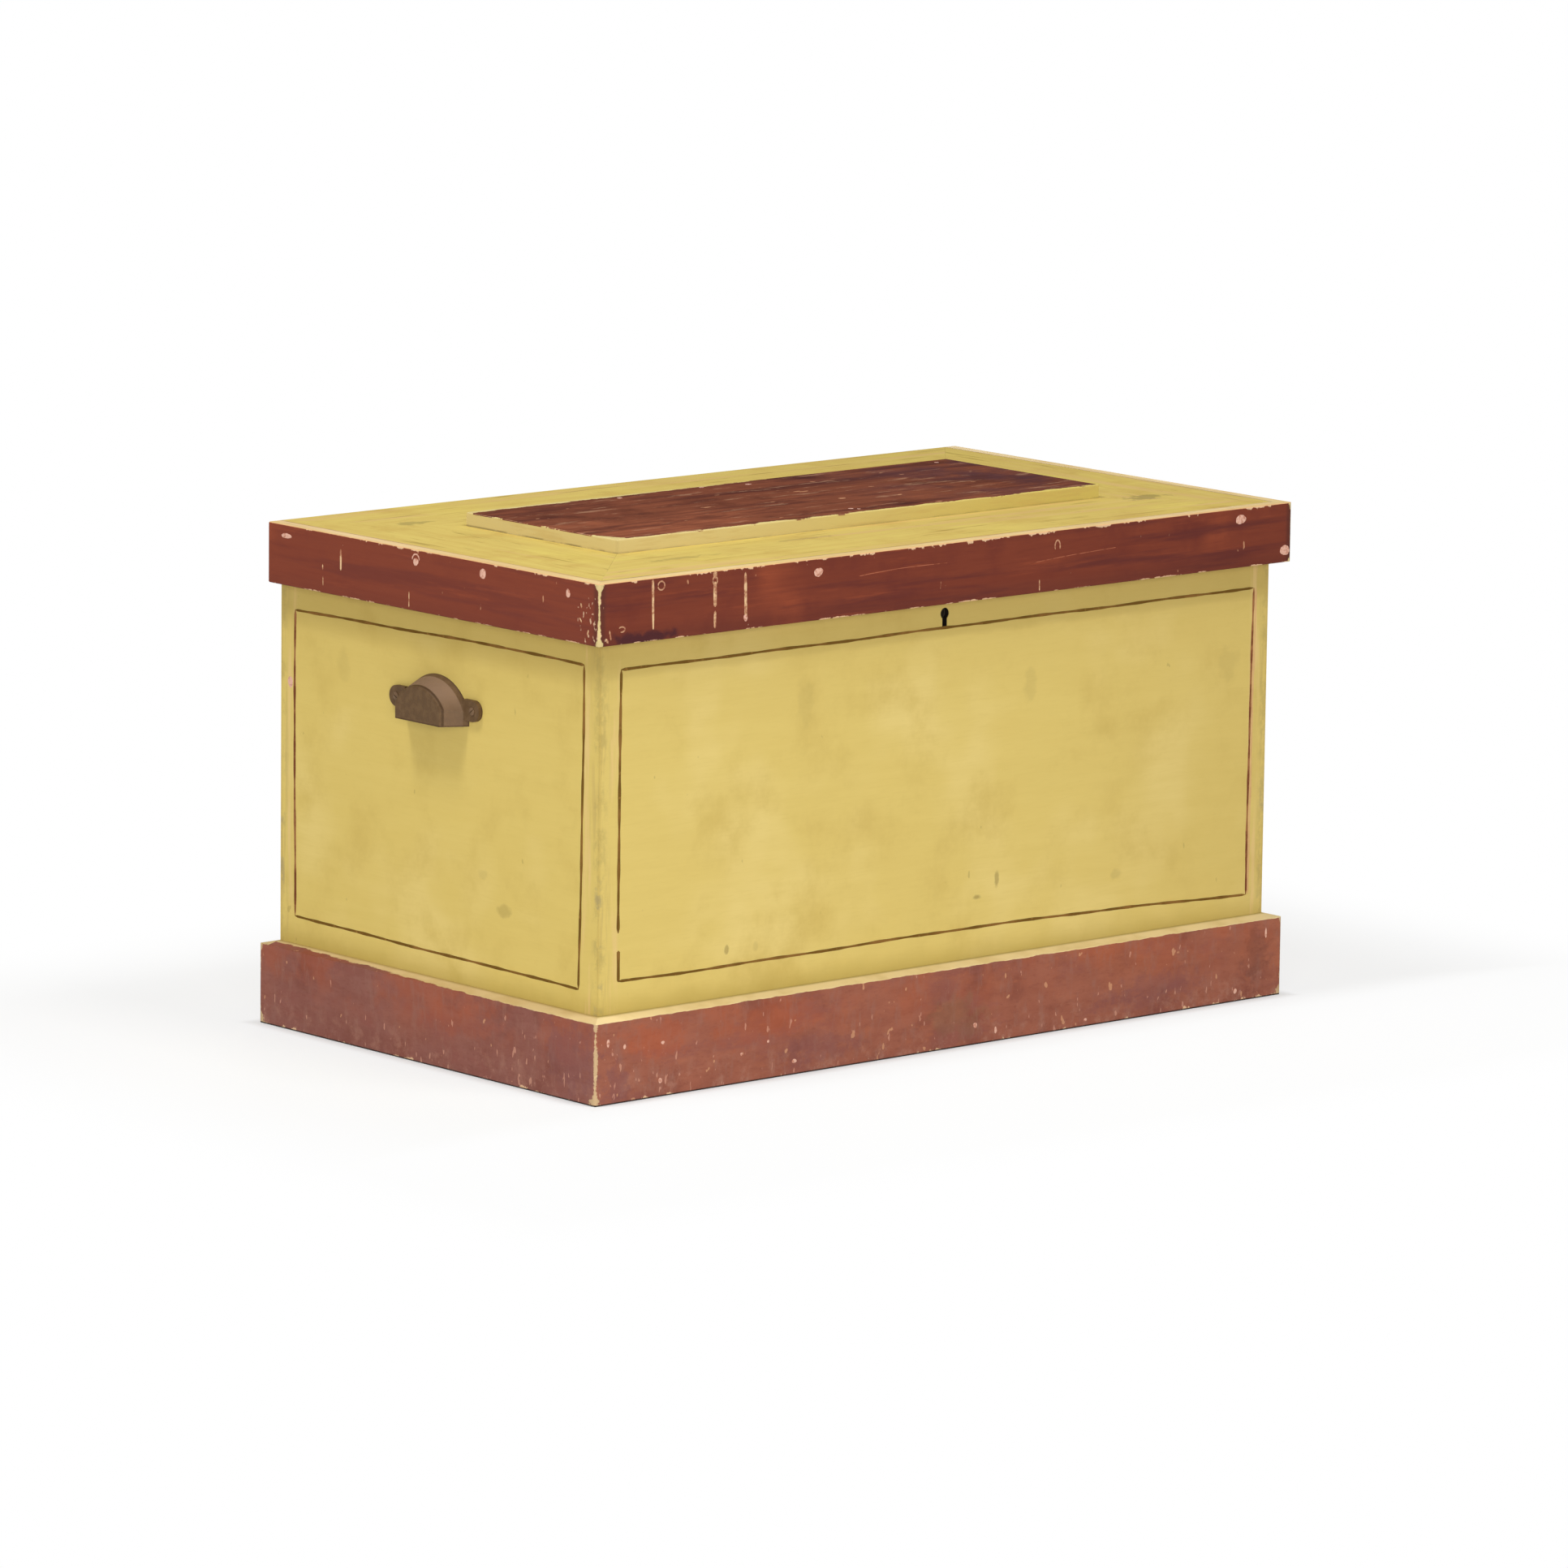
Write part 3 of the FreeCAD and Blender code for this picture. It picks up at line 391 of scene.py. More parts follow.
# %% [markdown]
# Hands wore the upright corners: grey smears beside the arris, then a rubbed strip two centimetres
# in. Each is a band of the edge distance times a noise, mostly drawn out upwards.
#
# %% Case corners
def handled_corners(g, shade, spot, ragged):
    """Smeared, rubbed and worn strips beside the upright corners, greyer near the foot."""
    edge = g.use(edge_distance, Low=(-CASE_X, -CASE_Y, -1.0), High=(CASE_X, CASE_Y, 2.0))["Distance"]
    drawn = g.stretched(spot, UPRIGHT)
    handled = g.times(g.smooth(edge, 0.021, 0.006), g.smooth(g.noise(drawn, 150, 4, 0.6), 0.5, 0.64))
    shade = g.tint(shade, handled, 0.35, (180, 152, 92))
    smears = g.smooth(g.noise(g.stretched(spot, (1, 1, 0.7)), 48, 5, 0.7), 0.46, 0.62)
    shade = g.tint(shade, g.times(g.smooth(edge, 0.014, 0.004), smears), 0.42, (168, 148, 86))
    band = g.times(g.smooth(edge, 0.009, 0.014), g.smooth(edge, 0.028, 0.022))
    rubbed = g.times(band, g.smooth(g.noise(drawn, 90, 4, 0.6), 0.46, 0.62))
    shade = g.tint(shade, rubbed, 0.45, (230, 194, 138))
    worn = g.smooth(g.plus(edge, g.times(ragged, 0.12)), 0.0034, 0.0006)
    shade = g.tint(shade, worn, 0.3, (184, 156, 82))
    greyed = g.times(g.smooth(edge, 0.009, 0.003), g.smooth(g.noise(spot, 26, 5, 0.7), 0.5, 0.62))
    greyed = g.times(greyed, g.smooth(g.parts(spot)[2], 0.27, 0.2))
    return g.tint(shade, greyed, 0.55, (154, 140, 106))


# %% [markdown]
# The boards are painted outside and bare inside. Two materials on a board would need a cut in the
# mesh, so one reads from a point's place whether it is on an outer face.
#
# %% Case boards
def case_material(name, bare_grain):
    """Yellow paint outside, bare wood with the given grain inside, and a near-black painted shade on the
    keyhole's walls.
    """
    made, g, shader = new_material(name)
    spot, x, y, z = g.here()
    ends = g.above(g.size(x), CASE_X - SKIN)
    outside = g.most(ends, g.above(g.size(y), CASE_Y - SKIN))
    ragged = g.times(g.minus(g.noise(spot, 30, 3), 0.5), 0.03)
    shade, paint = dirty_yellow(g)
    shade = shaded(g, shade, spot, ends, ragged)
    shade = handled_corners(g, shade, spot, ragged)
    # painted shade: the keyhole's walls near black, as the hole's own shade
    painted_keyhole_shade = g.times(g.below(g.size(x), 0.009), g.below(y, -0.24))
    painted_keyhole_shade = g.times(painted_keyhole_shade, g.smooth(z, 0.439, 0.441))
    wood = g.mix(painted_keyhole_shade, g.use(bare_wood, Stretch=bare_grain)["Colour"], (26, 19, 14))
    finish_surface(g, shader, g.mix(outside, wood, shade), paint)
    return made


dress(case_material("case_paint_long", ALONG_X), "front_board", "back_board")
dress(case_material("case_paint_end", ALONG_Y), "left_end_board", "right_end_board")

# %% [markdown]
# Dark hairlines mark the lid's mitres and its joint with the skirt. They are lines of dirt, too
# fine to cut as grooves. A mitre is straight in plan, so its mask is the distance to that line.
#
# %% Lid joints
LID_X, LID_FRONT, LID_BACK = 0.4665, -0.2605, 0.2595
FIELD_X, FIELD_FRONT, FIELD_BACK = 0.3365, -0.1305, 0.1135
lid_joints, g, start, end = new_group("lid_joints", [("Width", "Float", 0.0006)], [("Mask", "Float")])
spot, x, y, z = g.here()
over_x = g.minus(g.size(x), FIELD_X)
front = g.plus(over_x, g.minus(y, FIELD_FRONT))
slope = (LID_BACK - FIELD_BACK) / (LID_X - FIELD_X)
back = g.minus(g.times(over_x, slope), g.minus(y, FIELD_BACK))
mitre = g.most(g.least(g.size(front), g.size(back)), g.times(over_x, -1.0))
closest = g.least(g.times(mitre, 1.6), g.size(g.minus(g.size(x), LID_X)))
closest = g.least(closest, g.size(g.minus(y, LID_FRONT)))
line = g.smooth(closest, start["Width"], g.times(start["Width"], 0.4))
g.feed(end["Mask"], g.times(line, g.smooth(g.noise(spot, 24, 3), 0.36, 0.5)))

# %% [markdown]
# The lid took more weather, so its yellow is thinner and the grain shows as streaks of tan and
# grey that turn with the mitres. Each smudge is a place and reach seen from above, and a strength.
#
# %% Lid paint
LID_SMUDGES = [
    (-0.374, 0.160, 0.026, 0.012, 0.42),
    (0.384, -0.157, 0.028, 0.014, 0.5),
    (-0.300, -0.190, 0.050, 0.007, 0.3),
    (-0.110, -0.165, 0.045, 0.005, 0.3),
]
LID_TOP = 0.535


def streaked_yellow(g, stretch):
    """The lid's weathered yellow, streaked along its grain."""
    tones = {"Colour": (215, 192, 108), "Pale": (221, 200, 108), "Deep": (199, 168, 92)}
    paint = g.use(aged_paint, **tones, Stretch=stretch, Streaks=0.7)
    along = g.stretched(g.place(), stretch)
    tan = g.smooth(g.noise(along, 38, 4, 0.6), 0.52, 0.66)
    shade = g.tint(paint["Colour"], tan, 0.6, (216, 180, 122))
    dark = g.smooth(g.noise(along, 130, 3, 0.6), 0.63, 0.7)
    shade = g.tint(shade, dark, 0.55, (150, 124, 66))
    for x, y, wide, deep, strength in LID_SMUDGES:
        mask = g.mask(smudge, Centre=(x, y, LID_TOP), Radii=(wide, deep, THROUGH), Ragged=1.0)
        shade = g.tint(shade, mask, strength, (122, 112, 72))
    specks = g.mask(flecks, Stretch=g.stretched(stretch, (4.0, 4.0, 1.0)), Scale=110.0, Cut=0.7)
    shade = g.tint(shade, specks, 0.5, (132, 108, 62))
    return g.tint(shade, g.mask(lid_joints), 0.4, (104, 84, 50)), paint


def lid_material(name, stretch):
    """Streaked yellow on top and on the back edge, bare wood elsewhere."""
    made, g, shader = new_material(name, 0.0)
    _, y, z = g.parts(g.place())
    shade, paint = streaked_yellow(g, stretch)
    wood = g.use(bare_wood, Stretch=stretch)
    painted = g.most(g.above(z, 0.534), g.above(y, LID_BACK - SKIN))
    finish_surface(g, shader, g.mix(painted, wood["Colour"], shade), paint)
    return made


dress(lid_material("lid_paint_rails", ALONG_X), "lid_front_rail", "lid_back_rail")
dress(lid_material("lid_paint_stiles", ALONG_Y), "lid_left_stile", "lid_right_stile")

# %% [markdown]
# Skirt, plinth and raised field are red-brown over the same wood. The red is thin: purplish
# streaks run along the boards, and flecks and worn arrises show the pale ground.
#
# %% Red paint
def red_paint(g, stretch, red, pale, deep, purple, amount=0.6):
    """Red-brown paint with darker streaks along the board."""
    paint = g.use(aged_paint, Colour=red, Pale=pale, Deep=deep, Stretch=stretch, Streaks=0.55)
    along = g.stretched(g.place(), stretch)
    streak = g.smooth(g.noise(along, 34, 5, 0.68), 0.5, 0.64)
    shade = g.tint(paint["Colour"], streak, amount, purple)
    bright = g.smooth(g.noise(along, 90, 5, 0.7), 0.56, 0.7)
    return g.tint(shade, bright, 0.5, pale), paint


def lose_paint(g, shade, distance, width, amount, fleck_scale, cut, tall=(1, 1, 0.45)):
    """Pale ground at the worn arrises and in small flecks."""
    worn = g.mask(worn_edge, Distance=distance, Width=width, Ragged=1.0)
    shade = g.tint(shade, worn, amount, CREAM)
    small = g.mask(flecks, Stretch=tall, Scale=fleck_scale, Cut=cut)
    return g.tint(shade, small, 0.7, (205, 150, 112))


# %% [markdown]
# The skirt hangs down round the lid. It is darker along its foot and lighter on its ends. Its
# losses crowd at the front left corner, where the lid was gripped, and that corner is bare.
#
# %% Skirt paint
SKIRT_X, SKIRT_FRONT_Y, SKIRT_FOOT = 0.4825, -0.2765, 0.471
SKIRT_LOW, SKIRT_HIGH = (-SKIRT_X, SKIRT_FRONT_Y, SKIRT_FOOT), (SKIRT_X, 0.30, LID_TOP)


def skirt_red(g, z, end_face, stretch):
    """The skirt's red with its darker lower half, its lighter ends and its stain."""
    shade, paint = red_paint(g, stretch, RED, (150, 72, 44), RED_DEEP, (92, 40, 36), 0.8)
    shade = g.tint(shade, g.smooth(z, 0.492, 0.474), 0.35, (88, 42, 34))
    shade = g.tint(shade, end_face, 0.3, (146, 72, 50))
    centre, radii = (-0.428, SKIRT_FRONT_Y, 0.475), (0.055, THROUGH, 0.009)
    stain = g.mask(smudge, Centre=centre, Radii=radii, Ragged=0.6)
    return g.tint(shade, stain, 0.75, (58, 26, 36)), paint


def skirt_losses(g, shade, spot, edge, end_face):
    """Worn arrises, flecks that crowd at the front left corner, and the bare upright corner."""
    x, y, z = g.parts(spot)
    rare = g.smooth(g.noise(spot, 45, 4, 0.7), 0.5, 0.6, 0.0003, 0.0026)
    width = g.times(rare, g.smooth(z, 0.476, 0.482, 0.45, 1.0))
    upright = g.most(g.minus(SKIRT_X, g.size(x)), g.minus(y, SKIRT_FRONT_Y))
    shade = g.tint(shade, g.smooth(upright, 0.011, 0.005), 0.5, (72, 42, 36))
    shade = lose_paint(g, shade, edge, width, 0.9, 120.0, 0.735)
    near_corner = g.times(g.smooth(y, -0.222, -0.268), g.smooth(z, 0.528, 0.515))
    splashed = g.times(g.smooth(g.plus(x, y), -0.735, -0.752), g.smooth(z, 0.488, 0.478))
    crowded = g.times(g.most(g.times(near_corner, end_face), splashed), 0.2)
    knocks = g.mask(flecks, Stretch=(1, 1, 0.6), Scale=240.0, Cut=g.minus(0.80, crowded))
    shade = g.tint(shade, knocks, 0.75, (222, 184, 150))
    flare = g.most(g.smooth(z, 0.525, 0.535, 0.0, 0.0042), g.smooth(z, 0.480, 0.472, 0.0, 0.0028))
    bare = g.mask(worn_edge, Distance=upright, Width=g.plus(flare, 0.0021), Ragged=0.7)
    return g.tint(shade, bare, 0.9, (216, 194, 136))


def skirt_material(name, stretch):
    """Red outside, the lid's yellow on the top edge, bare wood behind."""
    made, g, shader = new_material(name)
    spot, x, y, z = g.here()
    edge = g.use(edge_distance, Low=SKIRT_LOW, High=SKIRT_HIGH)["Distance"]
    end_face = g.smooth(g.size(x), SKIRT_X - 0.0010, SKIRT_X - 0.0003)
    shade, paint = skirt_red(g, z, end_face, stretch)
    shade = skirt_losses(g, shade, spot, edge, end_face)
    yellow = g.mix(0.35, streaked_yellow(g, stretch)[0], (226, 182, 128))
    rim = g.mask(worn_edge, Distance=edge, Width=0.0020, Ragged=0.9)
    yellow = g.tint(yellow, rim, 0.7, (226, 176, 126))
    shade = g.mix(g.above(z, LID_TOP - SKIN), shade, yellow)
    behind = g.times(g.below(g.size(x), 0.468), g.above(y, -0.262))
    shade = g.mix(behind, shade, g.use(bare_wood, Stretch=stretch)["Colour"])
    finish_surface(g, shader, shade, paint)
    return made


dress(skirt_material("skirt_paint_long", ALONG_X), "skirt_front")
dress(skirt_material("skirt_paint_end", ALONG_Y), "skirt_left", "skirt_right")

# %% [markdown]
# The plinth took kicks and wet floors: orange where the red is fresh, lilac and moss where it has
# perished. Each stain is a place, a height, the reach along and up, a strength and a colour.
#
# %% Plinth paint
PLINTH_X, PLINTH_Y = 0.4815, 0.2755
PLINTH_LOW, PLINTH_HIGH = (-PLINTH_X, -PLINTH_Y, 0.0), (PLINTH_X, PLINTH_Y, 0.5)
MOTTLED = (0.35, 0.35, 1.0)
ORANGE, LILAC, MOSS = (178, 84, 46), (124, 78, 78), (132, 104, 74)
FRONT_STAINS = [
    (-0.400, 0.062, 0.050, 0.020, 0.3, ORANGE),
    (-0.250, 0.060, 0.080, 0.022, 0.2, ORANGE),
    (-0.455, 0.022, 0.020, 0.028, 0.5, LILAC),
    (-0.180, 0.024, 0.060, 0.018, 0.35, LILAC),
    (0.010, 0.034, 0.045, 0.024, 0.25, MOSS),
    (0.300, 0.030, 0.080, 0.020, 0.35, LILAC),
    (0.445, 0.050, 0.020, 0.035, 0.25, (84, 48, 42)),
]
LEFT_STAINS = [
    (-0.235, 0.045, 0.040, 0.045, 0.4, LILAC),
    (-0.060, 0.055, 0.070, 0.020, 0.15, ORANGE),
]


def plinth_red(g, spot, z, red, pale):
    """The plinth's mottled red, scuffed towards the floor, with its stains."""
    shade, paint = red_paint(g, MOTTLED, red, pale, (122, 68, 56), (140, 84, 74))
    bright = g.times(g.smooth(z, 0.02, 0.07), g.smooth(g.noise(spot, 15, 4, 0.6), 0.44, 0.62))
    shade = g.tint(shade, bright, 0.4, (170, 88, 56))
    dull = g.smooth(g.noise(g.stretched(spot, (1.0, 1.0, 0.3)), 95, 5, 0.7), 0.5, 0.68)
    shade = g.tint(shade, dull, 0.4, (150, 106, 92))
    scuffed = g.times(g.smooth(z, 0.05, 0.0), g.smooth(g.noise(spot, 60, 4, 0.7), 0.48, 0.7))
    shade = g.tint(shade, scuffed, 0.5, (176, 128, 108))
    stains = on_front(-PLINTH_Y, FRONT_STAINS) + on_end(-PLINTH_X, LEFT_STAINS)
    for centre, radii, strength, tone in stains:
        stain = g.mask(smudge, Centre=centre, Radii=radii, Ragged=1.0)
        shade = g.tint(shade, stain, strength, tone)
    return shade, paint


def plinth_losses(g, shade, spot):
    """Worn arrises, flecks that crowd at the foot and the front left corner, and bare corners."""
    x, y, z = g.parts(spot)
    edge = g.use(edge_distance, Low=PLINTH_LOW, High=PLINTH_HIGH)["Distance"]
    width = g.smooth(g.noise(spot, 30, 4, 0.7), 0.56, 0.62, 0.0003, 0.003)
    shade = lose_paint(g, shade, edge, width, 0.9, 85.0, 0.715, (1, 1, 0.7))
    near_corner = g.times(g.smooth(g.plus(x, y), -0.45, -0.72), 0.04)
    cut = g.minus(g.smooth(z, 0.07, 0.01, 0.735, 0.695), near_corner)
    tiny = g.mask(flecks, Stretch=(1, 1, 0.35), Scale=190.0, Cut=cut)
    shade = g.tint(shade, tiny, 0.6, (206, 150, 126))
    upright = g.most(g.minus(PLINTH_X, g.size(x)), g.minus(PLINTH_Y, g.size(y)))
    width = g.plus(g.smooth(z, 0.014, 0.002, 0.0, 0.0080), g.smooth(z, 0.074, 0.085, 0.0030, 0.0065))
    bare = g.mask(worn_edge, Distance=upright, Width=width, Ragged=0.9)
    return g.tint(shade, bare, 0.8, (208, 180, 134))


# %% [markdown]
# The plinth's sloped top edge is yellow. The rim of the yellow wanders by a millimetre, as a brush
# does without tape, and on the ends it climbs towards the back. On the ends the slope takes a painted
# shade, and a painted shadow darkens the plinth's lowest two millimetres, where it meets the floor.
#
# %% Plinth boards
def plinth_slope(g, spot, painted_slope_shade):
    """Where the sloped top edge is yellow, and that yellow, darkened by the given painted shade."""
    _, y, z = g.parts(spot)
    brim = g.plus(z, g.times(g.minus(g.noise(spot, 60, 4), 0.5), 0.003))
    climb = g.smooth(y, -0.2, PLINTH_Y, 0.0845, 0.0875)
    climb = g.least(climb, g.smooth(y, 0.2600, 0.2605, 0.09, 0.0847))
    clouds = g.smooth(g.noise(spot, 30, 3), 0.4, 0.7)
    yellow = g.mix(clouds, (238, 214, 158), (226, 200, 140))
    yellow = g.mix(g.smooth(z, 0.0878, CASE_FOOT), yellow, (176, 154, 80))
    # painted shade: the slope darkened by the given amount, used on the ends only
    yellow = g.mix(painted_slope_shade, yellow, (180, 140, 90))
    return g.smooth(g.minus(brim, climb), -0.0002, 0.0003), yellow


def plinth_material(name, stretch, red, pale, painted_slope_shade):
    """Mottled red below, yellow on the slope, bare wood behind, and a painted shadow along the foot."""
    made, g, shader = new_material(name)
    spot, x, y, z = g.here()
    shade, paint = plinth_red(g, spot, z, red, pale)
    shade = plinth_losses(g, shade, spot)
    slope, yellow = plinth_slope(g, spot, painted_slope_shade)
    shade = g.mix(slope, shade, yellow)
    # painted shadow: the plinth's lowest two millimetres dark where it meets the floor
    shade = g.mix(g.smooth(z, 0.0022, 0.0010), shade, (50, 34, 28))
    behind = g.times(g.below(g.size(x), CASE_X + 0.0002), g.below(g.size(y), CASE_Y + 0.0002))
    shade = g.mix(behind, shade, g.use(bare_wood, Stretch=stretch)["Colour"])
    finish_surface(g, shader, shade, paint)
    return made


# the last number is the painted shade on the slope: none on the front and back, some on the ends
long_paint = plinth_material("plinth_paint_long", ALONG_X, (158, 95, 74), (168, 99, 72), 0.0)
end_paint = plinth_material("plinth_paint_end", ALONG_Y, (142, 91, 80), (148, 93, 79), 0.3)
dress(long_paint, "plinth_front", "plinth_back")
dress(end_paint, "plinth_left", "plinth_right")

# %% [markdown]
# The raised field is the darkest surface: red worn through in long streaks, with pale flecks. The
# red stops short of the arrises in a ragged line, a distance that a stretched noise bends.
#
# %% Field paint
FIELD_TOP, FIELD_LOW = 0.5495, 0.4
INSET = 0.0003  # the wear's box lies this far inside the field's own faces


def field_red(g, spot, x):
    """The field's red, worn in streaks, blackened to the right, with pale streaks of dust and painted sheen.
    """
    shade, paint = red_paint(g, ALONG_X, (132, 77, 57), (156, 92, 66), (82, 46, 38), (78, 44, 42))
    broken = g.smooth(g.noise(g.stretched(spot, (0.25, 1.0, 1.0)), 34, 5, 0.7), 0.5, 0.62)
    shade = g.tint(shade, broken, 0.45, (76, 42, 40))
    blackened = g.times(g.smooth(x, 0.0, 0.33), g.smooth(g.noise(spot, 9, 5, 0.65), 0.4, 0.6))
    shade = g.tint(shade, blackened, 0.6, (84, 58, 66))
    # dust and painted sheen: pale streaks along the board, on a field that has no specular of its own
    dust_and_painted_light = g.smooth(g.noise(g.stretched(spot, (0.2, 1.0, 1.0)), 60, 5, 0.72), 0.56, 0.66)
    shade = g.tint(shade, dust_and_painted_light, 0.5, (184, 142, 112))
    low = (INSET - FIELD_X, FIELD_FRONT + INSET, FIELD_LOW)
    high = (FIELD_X - INSET, FIELD_BACK - INSET, FIELD_TOP)
    edge = g.use(edge_distance, Low=low, High=high)["Distance"]
    return lose_paint(g, shade, edge, 0.0006, 0.3, 70.0, 0.72, (0.4, 1, 1)), paint


def field_margin(g, spot, x, y):
    """How far a point lies inside the red, negative in the yellow margin round it."""
    bend = g.noise(g.stretched(spot, (0.35, 1, 1)), 70, 5, 0.7)
    wander = g.times(g.minus(bend, 0.5), 0.022)
    to_front = g.plus(g.plus(y, wander), 0.1280)
    to_back = g.minus(g.smooth(x, -0.1, 0.2, 0.1065, 0.1160), g.plus(y, wander))
    to_end = g.minus(g.plus(x, wander), g.smooth(y, -0.125, -0.08, -0.322, -0.338))
    return g.least(g.least(to_front, to_back), to_end)


# %% [markdown]
# The field's upright sides are yellow with a little grain, and a dark line of dirt comes and goes
# where they meet the frame.
#
# %% Field sides
def field_side(g, spot, x, y, z):
    """The yellow of the sides, with a broken dark line at their foot."""
    side = g.mix(g.smooth(x, -0.3, 0.3), (216, 197, 136), (209, 190, 106))
    grain = g.smooth(g.noise(g.stretched(spot, LEVEL), 110, 4, 0.65), 0.48, 0.64)
    side = g.tint(side, grain, 0.35, (198, 168, 100))
    gaps = g.smooth(g.noise(spot, 26, 3), 0.44, 0.54)
    to_left = g.smooth(x, -0.3355, -0.3345, 1.0, 0.3)
    foot = g.times(g.smooth(z, 0.5372, 0.5356), g.times(gaps, to_left))
    side = g.tint(side, foot, 0.55, (110, 90, 52))
    post = g.times(g.smooth(x, -0.3325, -0.3345), g.smooth(y, -0.1265, -0.1285))
    return g.tint(side, post, 0.12, (170, 150, 110))


made, g, shader = new_material("field_paint", 0.0)
spot, x, y, z = g.here()
shade, paint = field_red(g, spot, x)
side = field_side(g, spot, x, y, z)
shade = g.mix(g.smooth(field_margin(g, spot, x, y), 0.0006, -0.0006), shade, side)
shade = g.mix(g.below(z, 0.5481), shade, side)
shade = g.mix(g.below(z, 0.5345), shade, g.use(bare_wood, Stretch=ALONG_X)["Colour"])
finish_surface(g, shader, shade, paint)
dress(made, "lid_panel")

# %% [markdown]
# The bottom boards were never painted, so they take the bare wood under a thin dust.
#
# %% Bottom boards
made, g, shader = new_material("bare_wood", 0.25)
wood = g.use(bare_wood, Stretch=ALONG_X)
dust_and_painted_light = g.smooth(g.noise(g.place(), 14, 4, 0.6), 0.4, 0.7)
shade = g.tint(wood["Colour"], dust_and_painted_light, 0.35, (150, 128, 100))
finish_surface(g, shader, shade, wood)
dress(made, "bottom_board_front", "bottom_board_middle", "bottom_board_back")

# %% [markdown]
# The ironwork was painted brown once. Its casting skin is a fine lumpy bump, and rubbed places and
# rust come up lighter. The handle's cup carries dust and a painted top light: behind its front face
# it is lighter, the more so higher up, with darker rims read from the point's place.
#
# %% Iron
def cup_dust_and_painted_light(g, shade, spot, dust_and_painted_light):
    """Dust and a painted top light on the cup behind its front face, stronger higher up, and dark on its
    nose, its foot and its flange.
    """
    x, _, z = g.parts(g.vector("ABSOLUTE", spot))
    cup = g.times(g.smooth(x, 0.4708, 0.4718), g.smooth(x, 0.4893, 0.4883))
    # painted light and dust: the cup's sides and crown lighter than its front face, more so higher up
    shade = g.tint(shade, cup, g.smooth(z, 0.372, 0.394, 0.35, 1.0), dust_and_painted_light)
    nose = g.times(g.smooth(x, 0.4878, 0.4892), g.smooth(x, 0.4916, 0.4902))
    rim = g.most(g.smooth(z, 0.3605, 0.3590), g.smooth(x, 0.4672, 0.4660))
    return g.mix(g.most(g.times(rim, 0.6), g.times(nose, 0.55)), shade, (62, 42, 26))


def iron_material(name, base, rubbed, rust, metal, contrast=1.0, scale=60, dust_and_painted_light=None):
    """Patches of the rubbed colour and of rust over the base, and dust with a painted top light on the
    handle's cup.
    """
    made, g, shader = new_material(name, 0.2)
    shader["Metallic"].default_value = metal
    spot = g.place()
    patches = g.noise(spot, scale, 4, 0.65)
    shade = g.tint(base, g.smooth(patches, 0.42, 0.62), contrast, rubbed)
    rusty = g.smooth(g.noise(spot, 2 * scale, 5, 0.7), 0.56, 0.7)
    shade = g.tint(shade, rusty, contrast, rust)
    if dust_and_painted_light:
        shade = cup_dust_and_painted_light(g, shade, spot, dust_and_painted_light)
    skin = {"Roughness": g.smooth(patches, 0.3, 0.7, 0.45, 0.7), "Height": g.noise(spot, 260, 4, 0.6)}
    finish_surface(g, shader, shade, skin, 0.0005)
    return made


brown = ((97, 73, 48), (124, 97, 68), (80, 57, 36))
# the handle's cup tone is dust and a painted top light
handle_iron = iron_material("handle_iron", *brown, 0.0, contrast=0.4, scale=130, dust_and_painted_light=(138, 111, 88))
hinge_iron = iron_material("hinge_iron", (78, 68, 58), (104, 92, 80), (98, 64, 42), 0.35)
lock_iron = iron_material("lock_iron", (86, 76, 64), (118, 106, 90), (104, 70, 44), 0.35)
dress(handle_iron, "left_handle", "right_handle")
hinge_parts = ("case_leaf", "lid_leaf", "pin")
dress(hinge_iron, *(f"{side}_hinge_{part}" for part in hinge_parts for side in ("left", "right")))
dress(lock_iron, "lock_plate", "lock_cover", "lock_spring", "lock_bolt", "lock_strike")

# %% [markdown]
# Small things that lie on a face are closed surfaces made from grids of points. One helper turns
# such grids into a mesh: the grid closes on itself the short way round, and a face caps each end.
#
# %% Mesh helper
def new_piece(name, points, faces, material, body):
    mesh = bpy.data.meshes.new(name)
    mesh.from_pydata(points.tolist(), [], faces)
    mesh.materials.append(material)
    piece = bpy.data.objects.new(name, mesh)
    bpy.context.scene.collection.objects.link(piece)
    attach(piece, body)
    print(name, "faces", len(faces), "rides on", body)


def rings_mesh(name, blocks, material, body):
    """One piece from several grids (rings, points round, xyz), each closed round and capped."""
    points, faces = [], []
    base = 0
    for grid in blocks:
        rings, around = grid.shape[:2]
        index = base + np.arange(rings * around).reshape(rings, around)
        turned = np.roll(index, -1, axis=1)
        quads = np.stack([index[:-1], turned[:-1], turned[1:], index[1:]], axis=-1).reshape(-1, 4)
        faces += quads.tolist() + [index[0, ::-1].tolist(), index[-1].tolist()]
        points.append(grid.reshape(-1, 3))
        base += rings * around
    new_piece(name, np.concatenate(points), faces, material, body)


# %% [markdown]
# A mark is drawn in two numbers, along a face and up it. A face is its origin and those two
# directions, and outwards is away from the chest's middle.
#
# %% Faces to draw on
X, Y, Z = (1, 0, 0), (0, 1, 0), (0, 0, 1)
FRONT = ((-CASE_X, -CASE_Y, 0.0), X, Z)
LEFT = ((-CASE_X, -CASE_Y, 0.0), Y, Z)
RIGHT = ((CASE_X, -CASE_Y, 0.0), Y, Z)
SKIRT_FRONT = ((-SKIRT_X, SKIRT_FRONT_Y, 0.0), X, Z)
SKIRT_LEFT = ((-SKIRT_X, SKIRT_FRONT_Y, 0.0), Y, Z)
SKIRT_RIGHT = ((SKIRT_X, SKIRT_FRONT_Y, 0.0), Y, Z)
PLINTH_FRONT = ((-PLINTH_X, -PLINTH_Y, 0.0), X, Z)
